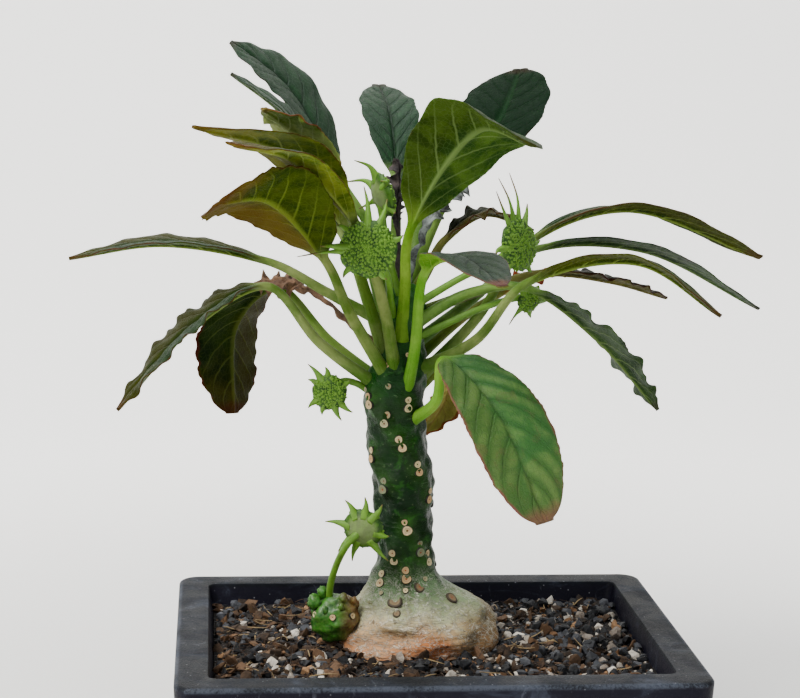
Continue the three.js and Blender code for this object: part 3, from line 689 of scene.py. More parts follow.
def chip_skin(size, squash, finer):
    """An angular chip: the tight skin round a few random points."""
    shape = bmesh.new()
    scales = (1, random.uniform(0.6, 0.95), random.uniform(*squash))
    angle = random.uniform(0, 6.3)
    turn = Matrix.Rotation(angle, 3, random_way())
    for _ in range(14 if finer else 9):
        way = random_way() * random.uniform(0.85, 1.15)
        shape.verts.new(turn @ Vector([way[i] * scales[i] for i in range(3)]) * size)
    skin = bmesh.ops.convex_hull(shape, input=shape.verts)
    bmesh.ops.delete(shape, geom=skin["geom_interior"], context="VERTS")
    shape.verts.index_update()
    points = np.array([tuple(corner.co) for corner in shape.verts])
    faces = [tuple(v.index for v in face.verts) for face in shape.faces]
    shape.free()
    return points, faces


def soil_place(lean=0.0):
    """A random spot on the bed, outside the swollen base. A lean of 1 prefers the right, -1 the left."""
    while True:
        x, y = random.uniform(-half_x + 1, half_x - 1), random.uniform(-half_y + 1, half_y - 1)
        if random.random() > 0.5 + 0.45 * lean * x / half_x:
            continue
        if from_base(x, y) > 1.02:
            return x, y


print("chips are spread over", round(4 * half_x * half_y / 100), "square centimetres")

# %% Grains
# count, smallest and largest size, how flat, lean to the right, dark and pale colour, roughness
GRAINS = {
    "lava_grains": (1700, (0.7, 2.4), (0.6, 0.9), 0.3, (3, 3, 4), (76, 78, 84), 0.6),
    "bark_chips": (1000, (0.8, 3.4), (0.2, 0.45), -0.7, (9, 7, 5), (112, 84, 60), 0.75),
    "pumice_grains": (520, (0.5, 2.5), (0.45, 0.9), 0.4, (112, 98, 86), (236, 228, 214), 0.9),
    "brown_crumbs": (700, (0.4, 1.1), (0.5, 0.8), -0.2, (14, 10, 8), (98, 70, 48), 0.9),
    "tan_grains": (240, (0.5, 2.0), (0.4, 0.8), 0.2, (96, 66, 42), (190, 148, 108), 0.85),
}
for name, (count, sizes, squash, lean, dark, pale, rough) in GRAINS.items():
    finish, nodes, shader = new_finish(name.replace("_", " "))
    where = nodes.place()
    mottle = use_group(nodes, "Mottling", Vector=where, Patch=700.0, Speck=3000.0)
    own = nodes.calc("POWER", nodes.read("tone"), 2.0)
    tone = nodes.calc("MULTIPLY_ADD", mottle["Patches"], 0.2, nodes.calc("MULTIPLY", own, 0.85), clamp=True)
    body = nodes.mix(tone, colour(*dark), colour(*pale))
    body = nodes.tint(body, mottle["Specks"], 0.3, colour(9, 7, 7))
    dress(nodes, shader, body, rough, mottle["Height"], 0.2, Specular_IOR_Level=0.3)
    heap = Heap()
    for _ in range(count):
        x, y = soil_place(lean)
        size = lerp(*sizes, random.random() ** 2.6)
        points, faces = chip_skin(size, squash, size > 1.25)
        rise = soil_height(x, y) + random.uniform(-0.1, 0.75) * min(size, 2)
        heap.add(points + np.array((x, y, rise)), faces, tone=random.random())
    heap.piece(name, finish, "soil", ["soil"], flat=True)

# %% Straw and fibres
# count, lean to the right, shortest and longest, thickness, dark and pale colour
FIBRES = {
    "straw": (90, -0.5, (3, 9), 0.16, (70, 54, 34), (178, 152, 108)),
    "dark_fibres": (260, -0.8, (3, 12), 0.12, (14, 10, 8), (74, 52, 36)),
}
for name, (count, lean, lengths, thickness, dark, pale) in FIBRES.items():
    finish, nodes, shader = new_finish(name.replace("_", " "))
    where = nodes.place()
    fibre = nodes.noise(nodes.stretch(where, (1.0, 1.0, 3.0)), 900.0, 4)
    tone = nodes.calc("MULTIPLY_ADD", fibre, 0.5, nodes.calc("MULTIPLY", nodes.read("tone"), 0.5), clamp=True)
    dress(nodes, shader, nodes.mix(tone, colour(*dark), colour(*pale)), 0.8, fibre, 0.08)
    heap = Heap()
    for _ in range(count):
        x, y = soil_place(lean)
        length, turn = random.uniform(*lengths), random.uniform(0, 2 * math.pi)
        start = np.array((x, y, soil_height(x, y) + random.uniform(0.8, 2.0)))
        end = start + np.array((math.cos(turn), math.sin(turn), random.uniform(-0.1, 0.25))) * length
        if abs(end[0]) > half_x - 1 or abs(end[1]) > half_y - 1 or from_base(end[0], end[1]) < 1.05:
            continue
        middle = (start + end) / 2 + np.array([random.uniform(-0.6, 0.6) for _ in range(3)])
        radii = [thickness, thickness * 1.2, thickness * 0.5]
        points, faces, _ = tube_skin([start, middle, end], radii, 5, 7)
        heap.add(points, faces, tone=random.random())
    heap.piece(name, finish, "soil", ["soil"])

# %% [markdown]
# ## The stem
# The stem swells to a caudex at the soil, narrows to a trunk and ends in a lumpy crown. Its skin
# follows the same table of centres and half widths as the solid, drawn smoothly between them. Low
# swellings carry the leaf scars, and fine rings and wrinkles are moved into the mesh, because
# they show on the outline. The scars themselves are separate little discs, so they stay crisp.

# %% Stem outline
# height, centre to the right and back, half width and half depth
STEM = np.array([
    (27, -3, 4, 8, 7), (31, -3, 4, 15, 13), (37, -3, 4.5, 20.5, 17.5), (42, -3, 4.5, 23.4, 20),
    (46, -2.6, 4.5, 24.2, 20.6), (50, -2.4, 4.5, 23.6, 20), (54, -2.6, 4.2, 21.4, 18.2),
    (57.5, -3.4, 3.8, 17.8, 15.4), (61, -5.6, 3.4, 13.4, 12.4), (65, -6.7, 3.1, 10.4, 10),
    (70, -7.1, 3, 8.4, 8.4), (78, -7.6, 3, 8.3, 8.3), (87, -8, 3, 8.7, 8.7), (96, -8.4, 3, 9, 9),
    (104, -9.6, 3, 8.8, 8.8), (112, -11, 3, 8.6, 8.6), (119, -11.4, 3, 8.6, 8.6),
    (125, -10.8, 3, 8.8, 8.8), (131, -10.2, 3, 7.4, 7.6), (137, -10, 3, 6.6, 6.8),
    (143, -9.6, 3, 6.4, 6.4), (149, -9, 3, 5.2, 5.2), (153, -8.6, 3.2, 2.4, 2.4)])
FRONT_SCARS = [(118, 216), (117.5, 292), (113, 246), (106, 272), (101.5, 204), (98.5, 296), (93, 228),
               (89.5, 322), (81, 271), (74, 297), (71.5, 244), (70.5, 318), (66.5, 266), (64.5, 222)]
BACK_SCARS = [(68 + 6 * k, 20 + (49 * k) % 140) for k in range(8)]
SCAR_PITCH = 2.5
STEM_FOOT, STEM_NECK, STEM_TOP, STEM_SIDES = 27, 62, 153, 120


def stem_at(z):
    """The stem's centre and half widths at a height, eased between the table's rows."""
    heights = STEM[:, 0]
    slopes = np.gradient(STEM[:, 1:], heights, axis=0)
    k = np.clip(np.searchsorted(heights, z) - 1, 0, len(heights) - 2)
    span = heights[k + 1] - heights[k]
    w = (z - heights[k]) / span
    w, span = np.asarray(w)[..., None], np.asarray(span)[..., None]
    a, b, ma, mb = STEM[k, 1:], STEM[k + 1, 1:], slopes[k] * span, slopes[k + 1] * span
    leaving = (2 * w ** 3 - 3 * w ** 2 + 1) * a + (w ** 3 - 2 * w ** 2 + w) * ma
    return leaving + (3 * w ** 2 - 2 * w ** 3) * b + (w ** 3 - w ** 2) * mb


print("half width of the trunk at 100 mm:", round(float(stem_at(100)[2]), 1), "mm")

# %% Swellings
def round_scars(angle, z, reach):
    """A value that is 1 at each pair of scars and fades out over a reach in millimetres."""
    near = np.zeros_like(z)
    for height, degrees in FRONT_SCARS + BACK_SCARS:
        turn = (angle - math.radians(degrees) + math.pi) % (2 * math.pi) - math.pi
        near += np.exp(-(np.hypot(turn * 9, (z - height - 1) * 0.85) / reach) ** 2)
    return near


def swellings(angle, z):
    """How far the stem's skin stands out, in millimetres, from its smooth outline."""
    out = 0.8 * round_scars(angle, z, 2.4)
    trunk = smooth((z - STEM_NECK) / 10)
    out += trunk * 0.03 * np.sin(z * 2.4 + 1.5 * np.sin(2 * angle) + np.sin(z * 0.31) * 4)
    out += 0.46 * np.sin(5 * angle + z * 0.2) * np.sin(z * 0.29 + 2 * angle) * trunk
    out += 0.16 * np.sin(z * 1.25 + 2.4 * np.sin(3 * angle)) * np.sin(4 * angle + z * 0.11) * trunk
    return out


def ridges(angle, z):
    """How many times wider the stem is than its round outline."""
    return 1 + 0.04 * np.sin(3 * angle + 0.35 * z) + 0.025 * np.sin(5 * angle - 0.6 * z)


def bark_noise(angle, z):
    """Fine noise that goes round the stem without a seam."""
    return noise.fractal(Vector((math.cos(angle) * 3.2, math.sin(angle) * 3.2, z / 6)), 0.6, 2.2, 4)


stands_out = float(swellings(np.radians([216.0]), np.array([119.0]))[0])
print("the skin stands out", round(stands_out, 2), "mm at the first scar")

# %% Stem mesh
heights = np.concatenate([np.linspace(STEM_FOOT, STEM_NECK, 70, endpoint=False),
                          np.linspace(STEM_NECK, STEM_TOP, 190)])
angles = np.linspace(0, 2 * math.pi, STEM_SIDES, endpoint=False)
grid_z, grid_a = np.meshgrid(heights, angles, indexing="ij")
outline = stem_at(grid_z)
swell = ridges(grid_a, grid_z)
rough = np.array([[bark_noise(a, z) for a in angles] for z in heights])
swollen = 1 - smooth((grid_z - 55) / 12)
stand = swellings(grid_a, grid_z) + rough * lerp(0.25, 1.1, swollen)
stem_points = np.stack([
    outline[..., 0] + (outline[..., 2] * swell + stand) * np.cos(grid_a),
    outline[..., 1] + (outline[..., 3] * swell + stand) * np.sin(grid_a), grid_z], -1).reshape(-1, 3)
stem_round = np.stack([np.cos(grid_a), np.sin(grid_a), grid_z / 10], -1).reshape(-1, 3)
near_scar = np.minimum(round_scars(grid_a, grid_z, 3.1), 1).ravel()
print("stem mesh:", stem_points.shape[0], "points")

# %% Stem colours by height
# share of the height, and the colour there: earthy at the foot, green from the trunk up
STEM_COLOURS = [(0.0, (160, 98, 56)), (0.075, (196, 138, 96)), (0.12, (196, 166, 124)),
                (0.175, (174, 174, 138)), (0.24, (120, 146, 106)), (0.32, (10, 46, 13)),
                (0.6, (4, 38, 5)), (0.86, (8, 58, 8)), (1.0, (30, 88, 20))]
ORANGE_LUMP = (0.001, -0.020, 0.048)
bark, nodes, shader = new_finish("stem skin")
where = nodes.place()
round_it = nodes.read("stem_round", "Vector")
z = nodes.split(where)[2]
mottle = use_group(nodes, "Mottling", Vector=where, Patch=130.0, Speck=1100.0)
drift = nodes.calc("MULTIPLY_ADD", nodes.noise(where, 90.0, 4), 0.016, nodes.calc("ADD", z, -0.008))
level = nodes.add("MapRange", drift, 0.038, 0.14).outputs[0]
skin = nodes.ramp(level, [(place, colour(*shade)) for place, shade in STEM_COLOURS])
print("stem colours:", len(STEM_COLOURS), "from the foot to the crown")

# %% Marks on the swollen base and the trunk
earthy = nodes.ease(z, 0.056, 0.066, 1.0, 0.0)
orange_lump = nodes.add("VectorMath", where, ORANGE_LUMP, operation="DISTANCE").outputs["Value"]
orange_lump = nodes.calc("MULTIPLY_ADD", mottle["Patches"], 0.003, orange_lump)
skin = nodes.mix(nodes.ease(orange_lump, 0.004, 0.013, 0.8, 0.0), skin, colour(196, 104, 44))
# the right side of the swollen base is darkened to olive: painted shade on the side away from the window lamp
right_side = nodes.ease(nodes.split(where)[0], 0.004, 0.014)
painted_shade_right = nodes.calc("MULTIPLY", right_side, nodes.ease(z, 0.05, 0.06, 1.0, 0.0))
skin = nodes.tint(skin, painted_shade_right, 0.7, colour(66, 62, 32))
skin = nodes.tint(skin, nodes.read("near_scar"), 0.5, colour(58, 104, 22))
green = nodes.calc("SUBTRACT", 1.0, earthy)
skin = nodes.tint(skin, mottle["Patches"], nodes.calc("MULTIPLY", green, 0.6), colour(4, 20, 9))
blotches = nodes.calc("MULTIPLY", nodes.ease(nodes.noise(where, 150.0, 5, 0.65, 1.0), 0.48, 0.62), earthy)
skin = nodes.tint(skin, blotches, 0.4, colour(124, 90, 60))
hair = nodes.noise(nodes.stretch(round_it, (4.5, 4.5, 2.6)), 1.0, 4, 0.6, 1.2)
crossing = nodes.noise(nodes.stretch(round_it, (2.4, 2.4, 7.0)), 1.0, 4, 0.6, 1.2)
on_line = [nodes.ease(nodes.calc("ABSOLUTE", nodes.calc("SUBTRACT", n, 0.5)), 0.004, 0.026, 1.0, 0.0)
           for n in (hair, crossing)]
hairlines = nodes.calc("MULTIPLY", nodes.calc("MAXIMUM", *on_line), nodes.ease(z, 0.062, 0.072, 1.0, 0.0))
skin = nodes.tint(skin, hairlines, 0.5, colour(236, 232, 216))
flecks = nodes.calc("MULTIPLY", nodes.ease(nodes.noise(where, 230.0, 4, 0.6, 0.6), 0.55, 0.68), green)
skin = nodes.tint(skin, flecks, 0.4, colour(44, 104, 24))
ringed = nodes.noise(nodes.stretch(round_it, (2.2, 2.2, 8.0)), 1.0, 4, 0.7, 0.5)
rings_drawn = nodes.calc("MULTIPLY", nodes.ease(ringed, 0.63, 0.7), nodes.ease(z, 0.058, 0.07))
skin = nodes.tint(skin, rings_drawn, 0.4, colour(96, 132, 84))
spots = nodes.calc("MULTIPLY", nodes.ease(nodes.noise(where, 420.0, 3, 0.65), 0.6, 0.68), earthy)
skin = nodes.tint(skin, spots, 0.6, colour(62, 36, 20))
dots = nodes.ease(nodes.cells(where, 480.0), 0.08, 0.16, 1.0, 0.0)
skin = nodes.tint(skin, dots, 0.2, colour(120, 136, 96))
print("marks on the stem take", len(nodes.tree.nodes), "nodes")

# %% Stem skin
gloss = nodes.calc("MULTIPLY_ADD", earthy, 0.3, nodes.calc("MULTIPLY_ADD", mottle["Specks"], 0.12, 0.3))
wrinkles = nodes.calc("MULTIPLY_ADD", ringed, 1.2, mottle["Height"])
relief = nodes.calc("ADD", nodes.calc("MULTIPLY", hairlines, 0.5), wrinkles)
dress(nodes, shader, skin, gloss, relief, 0.45, Specular_IOR_Level=0.17)
make_piece("stem_skin", stem_points, skin_faces(len(heights), len(angles)), bark, ["stem"],
           {"stem_round": stem_round, "near_scar": near_scar})


# %% [markdown]
# ## Leaf scars and the offset
# Where a leaf fell, a round pale scar stays, with a smaller one above it from a flower. Each is a
# flat disc with a raised rim, a darker ring and a dot, pressed a little into the stem. The oldest
# ones, on the swollen base, have turned dark. A small green offset with three scars of its own grows
# at the foot on the left, and a stub of an old branch leaves the crown.

# %% Scar discs
# share of the radius, and share of the rise, from the buried edge to the middle
SCAR_PROFILE = [(1.06, -1.0), (1.0, 0.1), (0.95, 0.8), (0.86, 1.0),
                (0.7, 0.85), (0.5, 0.7), (0.34, 0.65), (0.14, 0.4)]


def disc_skin(centre, facing, radius, rise, tilt=0.0, sides=18):
    """A low disc with a raised rim and a hollow, and the share of its radius at each point."""
    facing = np.asarray(facing, float)
    facing /= np.linalg.norm(facing)
    aside = np.cross(facing, (0, 0, 1.0))
    aside /= np.linalg.norm(aside)
    upward = np.cross(aside, facing)
    points, share = [], []
    for r, h in SCAR_PROFILE:
        for k in range(sides):
            a = 2 * math.pi * k / sides
            wavy = 1 + 0.05 * math.sin(3 * a + radius * 7)
            way = aside * math.cos(a) + upward * math.sin(a)
            points.append(centre + radius * r * wavy * way + facing * rise * h)
            share.append(r)
    return np.array(points), skin_faces(len(SCAR_PROFILE), sides), np.array(share)


def on_stem(z, degrees, proud=0.0):
    """A point on the stem's skin and the direction it faces."""
    a = math.radians(degrees)
    centre_x, centre_y, half_w, half_d = stem_at(np.array([z]))[0]
    swell = float(ridges(a, z))
    out = float(swellings(np.array([a]), np.array([float(z)]))[0]) + proud
    facing = np.array((math.cos(a), math.sin(a), 0.0))
    below, above = stem_at(np.array([z - 1.5]))[0], stem_at(np.array([z + 1.5]))[0]
    facing[2] = -(above[2] - below[2]) / 3
    x = centre_x + (half_w * swell + out) * math.cos(a)
    y = centre_y + (half_d * swell + out) * math.sin(a)
    return np.array((x, y, z)), facing / np.linalg.norm(facing)


print("front of the trunk at 100 mm:", on_stem(100, 270)[0].round(1))

# %% Leaf scars
OFFSET = {"centre": (-28, -1.5, 53.5), "half": (7.2, 6.4, 6.8)}
random.seed(21)
scars = Heap()
for height, degrees in FRONT_SCARS + BACK_SCARS:
    worn_pair = random.random()
    for lift, radius in ((0.0, 1.5), (SCAR_PITCH, 1.12)):
        point, facing = on_stem(height + lift, degrees + random.uniform(-5, 5) * lift / SCAR_PITCH, -0.1)
        points, faces, share = disc_skin(point, facing, radius * random.uniform(0.85, 1.05), 0.4)
        scars.add(points, faces, share=share, tone=random.random(), worn=worn_pair)
SMALL_SCARS = [(63, 262), (62, 228), (66, 300), (124, 250), (127, 300), (122, 200), (130, 240), (133, 285),
               (138, 262), (141, 215), (129, 60), (135, 120), (124, 95), (63, 100), (59, 60)]
for height, degrees in SMALL_SCARS:
    point, facing = on_stem(height, degrees, -0.05)
    points, faces, share = disc_skin(point, facing, random.uniform(0.7, 1.0), 0.3)
    scars.add(points, faces, share=share, tone=random.random(), worn=random.uniform(0.4, 1))

OLD_WIDER_RIM = 1.3
OLD_SCARS = [(60.2, 246, 2.2), (57.2, 247, 1.2), (64, 286, 1.7), (60, 322, 1.9)]
for height, degrees, radius in OLD_SCARS:
    point, facing = on_stem(height, degrees, 0.1)
    points, faces, share = disc_skin(point, facing, radius, 0.25)
    scars.add(points, faces, share=share * OLD_WIDER_RIM, tone=random.random(), worn=2)
for lean in (-50, -100, -150):
    way = np.array((math.cos(math.radians(lean)), math.sin(math.radians(lean)), 0.25))
    point = np.array(OFFSET["centre"]) + way * OFFSET["half"]
    points, faces, share = disc_skin(point, way, 0.95, 0.35)
    scars.add(points, faces, share=share, tone=random.random(), worn=0)
print(scars.count, "points in the scars")

# %% Scar cork
cork, nodes, shader = new_finish("scar cork")
where = nodes.place()
share = nodes.read("share")
mottle = use_group(nodes, "Mottling", Vector=where, Patch=900.0, Speck=2600.0)
tone = nodes.read("tone")
pale = nodes.mix(tone, colour(226, 212, 164), colour(200, 162, 112))
worn = nodes.read("worn")
pale = nodes.mix(nodes.ease(worn, 0.6, 0.95), pale, colour(112, 128, 96))
pale = nodes.mix(nodes.ease(worn, 1.2, 1.6), pale, colour(112, 96, 66))
pale = nodes.tint(pale, mottle["Patches"], 0.35, colour(136, 110, 76))
heart = nodes.mix(tone, colour(96, 60, 34), colour(150, 66, 24))
skin = nodes.mix(nodes.ease(share, 0.16, 0.3), heart, pale)
ring = nodes.calc("MULTIPLY", nodes.ease(share, 0.4, 0.5), nodes.ease(share, 0.5, 0.62, 1.0, 0.0))
skin = nodes.tint(skin, ring, 0.5, heart)
rim = nodes.mix(nodes.ease(worn, 1.2, 1.6), colour(20, 22, 10), colour(58, 48, 32))
skin = nodes.mix(nodes.ease(share, 0.84, 0.97), skin, rim)
dress(nodes, shader, skin, 0.7, mottle["Height"], 0.12)
scars.piece("leaf_scars", cork, "stem", ["stem"])

# %% Offset
BUDS = [((-34.5, -3, 58.6), 1.9), ((-32, -1.5, 61), 1.5), ((-26, -4.5, 60), 1.3)]
STUB = {"route": [(-10, 2.5, 134), (-13, 1, 142), (-15, 0, 149)], "radii": [4.4, 4.2, 3.6, 2.4, 0.6]}


def ball_skin(centre, half, rows, sides, lumps, scale):
    """A lumpy ball: rings from its foot to its top, each point pushed by soft noise."""
    centre, points = np.asarray(centre, float), []
    for i in range(rows):
        b = math.pi * (i + 0.5) / rows - math.pi / 2
        for k in range(sides):
            a = 2 * math.pi * k / sides
            way = Vector((math.cos(a) * math.cos(b), math.sin(a) * math.cos(b), math.sin(b)))
            push = 1 + lumps * noise.fractal(way * scale + Vector(centre / 7), 0.7, 2.1, 3)
            points.append(centre + np.array(way) * push * half)
    return np.array(points), skin_faces(rows, sides)


print("offset", 2 * OFFSET["half"][0], "mm wide with", len(BUDS), "buds")

# %% Young green skin
offset_finish, nodes, shader = new_finish("young green skin")
where = nodes.place()
mottle = use_group(nodes, "Mottling", Vector=where, Patch=260.0, Speck=1300.0)
x, _, z = nodes.split(where)
skin = nodes.mix(mottle["Patches"], colour(16, 70, 10), colour(52, 118, 26))
joint_side = nodes.calc("MULTIPLY", nodes.ease(x, -0.029, -0.0225), nodes.ease(z, 0.1, 0.08))
skin = nodes.tint(skin, joint_side, 0.8, colour(116, 62, 36))
skin = nodes.tint(skin, mottle["Specks"], 0.25, colour(130, 150, 80))
dress(nodes, shader, skin, 0.4, mottle["Height"], 0.3)
heap = Heap()
heap.add(*ball_skin(OFFSET["centre"], OFFSET["half"], 30, 44, 0.16, 2.2))
for centre, radius in BUDS:
    heap.add(*ball_skin(centre, (radius, radius, radius * 1.25), 12, 16, 0.3, 2.5))
points, faces, _ = tube_skin(STUB["route"], STUB["radii"], 20, 18)
heap.add(points, faces)
for k in range(6):
    a = math.radians(150 + 44 * k)
    out_to = np.array((6.4 * math.cos(a), 5.6 * math.sin(a), 4.6 + 1.4 * math.sin(k * 2.1)))
    tip = np.array(OFFSET["centre"]) + out_to
    heap.add(*ball_skin(tip, (0.9, 0.8, 1.3), 8, 10, 0.3, 2.0))
heap.piece("offset_and_stub", offset_finish, "stem", ["stem"])

# %% [markdown]
# ## Leaves
# A leaf is one skin: round rings for the stalk that flatten into a blade folded like a shallow V.
# The blade quilts between its side veins, its edge is crisped into small waves, and the midrib is a
# groove above and a rib below. Every point carries its place on the leaf (along, across, which
# face) and the phase of the side veins, and the finish paints from those, so colour and relief match.

# %% Leaf table
# name: heading, width, roll, twist, bluntness, wave, crispness, kind,
# then the points of the stalk and midrib: out from the crown, height and how far aside
LEAVES = {
    "leaf_01": (150, 25.5, 3, 0, 0.3, 0.3, 0.05, "blue",
                [(2, 144, 0.5), (9, 166, 0.5), (20, 182, -0.5), (40, 208.5, 3), (55.5, 221.5, -4)]),
    "leaf_02": (172, 17, 0, 0, 0, 0.3, 0.05, "blue",
                [(3, 135, 4), (12, 165, 5), (21, 181, 3), (34, 201.5, -5.5), (49.5, 213, -7.5)]),
    "leaf_03": (205, 21, -10, 0, 0.5, 0.6, 0.3, "pale",
                [(2, 144, 0.5), (9, 160, 0.5), (18, 172, 1), (32, 194, 1), (45.5, 204)]),
    # leaves 04 and 05 take a lighter copy of the gold finish, painted light on leaves shaded by those above
    "leaf_04": (215, 24, -20, 14, 0, 0.2, 0.05, "lit_gold",
                [(5, 131, 0.5), (14, 153), (21, 170), (39, 191, 2), (73.5, 200)]),
    "leaf_05": (235, 15, -6, 14, 1.4, 0.2, 0.05, "lit_gold",
                [(5, 127, -1.5), (14, 149, -2), (26, 172), (55, 191.5, 2), (84.5, 197, 1.5)]),
    "leaf_06": (225, 32, -18, -17, 1.4, 0.5, 0.35, "gold",
                [(4, 124), (23, 147), (33, 162), (54, 180, 2), (75, 181, 0.5)]),
    "leaf_07": (180, 21, 0, 0, 0, 0.3, 0.1, "olive",
                [(2, 140, -1), (21, 150), (38, 159), (69, 164), (96, 159.5)]),
    "leaf_08": (190, 23, 0, 0, 0, 0.9, 0.5, "olive",
                [(4, 121), (24, 136), (40, 153), (61, 142), (83, 118)]),
    "leaf_09": (150, 30, -9, 0, 1.4, 0.8, 0.4, "dark",
                [(4, 122), (23, 134), (41, 149), (57, 135.5, 3), (56, 108.5)]),
    "leaf_10": (55, 26.5, -22, 24, 1.2, 0.2, 0.06, "veined",
                [(2, 145, -0.7), (14, 162, -0.5), (26, 181, 3), (48, 200.5, 7), (66.5, 214.3, 4)]),
    "leaf_11": (5, 18, 0, 18, 0.8, 0.15, 0.04, "olive",
                [(4, 123), (23, 143), (37.5, 165), (67, 175), (110, 160.5)]),
    "leaf_12": (16, 20, 14, -20, 0, 0.15, 0.05, "blue",
                [(3, 134), (25, 148, -3), (43, 161.5, -3), (80, 161, -2), (121.5, 141.5)]),
    "leaf_13": (335, 19, 10, 0, 0.8, 0.2, 0.05, "olive",
                [(4, 127), (23, 138), (37.5, 155.5), (70, 163.5), (94, 150)]),
    "leaf_14": (20, 15, 0, 0, 0, 0.6, 0.5, "brown",
                [(3, 143), (24, 150, 2), (46, 155, 3), (70, 151.5, 2), (92, 145)]),
    "leaf_15": (350, 27, 8, 16, 0, 0.9, 0.6, "blue",
                [(2, 140, 1), (20, 151), (37, 153), (58, 138.5), (76, 118.2)]),
    "leaf_16": (307, 28.5, -8, 0, 1.5, 0.7, 0.2, "aging",
                [(4, 112), (16, 121), (18, 133), (38.5, 121.5, -1.5), (58, 92.5, -2.5)]),
    "leaf_17": (45, 13, 0, 0, 0, 0.7, 0.3, "rust",
                [(5, 119), (19, 125), (25, 123), (23, 115), (13, 106)]),
    "leaf_18": (8, 15, 0, 0, 0, 1, 0.8, "brown",
                [(2, 147), (8, 157, -1), (13, 165, -3), (26, 173, -4), (41, 168, -4)]),
    "leaf_19": (34, 13, 0, 0, 0, 1, 0.5, "rust",
                [(3, 128), (22, 140), (38, 147), (54, 151), (68, 152)]),
    "leaf_20": (300, 31, 30, -10, 0.3, 0.25, 0.05, "fresh",
                [(4.5, 137, 3), (6, 152, 3), (7, 169, 2.5), (33, 199.5, -1), (58.5, 197)]),
    "leaf_21": (95, 17.5, 0, 0, 1, 0.2, 0.06, "blue",
                [(4, 138), (10, 160), (16, 181, 0.7), (32, 199.5, 1.5), (54, 208.5, 1.5)]),
    # leaf 22 points at the camera; its grey finish paints the sheen of its upper face seen edge-on
    "leaf_22": (285, 18, 0, 0, 0.6, 0.2, 0.05, "grey",
                [(5, 119), (12, 135), (18, 158), (45, 166), (74, 162)]),
    "leaf_23": (75, 24, 0, 0, 0, 0.6, 0.25, "blue",
                [(2, 132), (18, 152), (32, 168), (60, 182), (88, 178)]),
    "leaf_24": (116, 24, 0, 0, 0, 0.6, 0.25, "olive",
                [(4, 122), (20, 146), (34, 163), (58, 174), (84, 164)]),
}
CROWN = (-10, 3)
LEAF = {"thickness": 0.9, "rib": 1.1, "fold": 0.2, "tip": 0.8, "blunt_tip": 1.6,
        "scallop": 0.03, "start": 0.16}
print(len(LEAVES), "leaves of", len({leaf[7] for leaf in LEAVES.values()}), "kinds")

# %% Leaf mesh
HALF_ACROSS = [0.035, 0.08, 0.15, 0.27, 0.41, 0.55, 0.69, 0.82, 0.92, 0.98, 1.0]
ACROSS = np.array([-v for v in reversed(HALF_ACROSS)] + [0] + HALF_ACROSS)
STALK_RINGS, BLADE_RINGS = 26, 96


def leaf_frame(heading, roll, twist, route, t, u):
    """The midrib's points, and the directions across the leaf and up from it at each one."""
    turn = math.radians(heading)
    out = np.array((math.cos(turn), math.sin(turn), 0))
    right = np.array((math.sin(turn), -math.cos(turn), 0))
    midrib = [np.array((*CROWN, p[1])) + out * p[0] + right * (p[2] if len(p) > 2 else 0) for p in route]
    centre, along = route_points(midrib, t)
    side = right - along * (along @ right)[:, None]
    side /= np.linalg.norm(side, axis=1)[:, None]
    up = np.cross(side, along)
    bank = np.radians(roll * smooth(t / 0.6) + twist * u)[:, None]
    return centre, side * np.cos(bank) + up * np.sin(bank), up * np.cos(bank) - side * np.sin(bank)


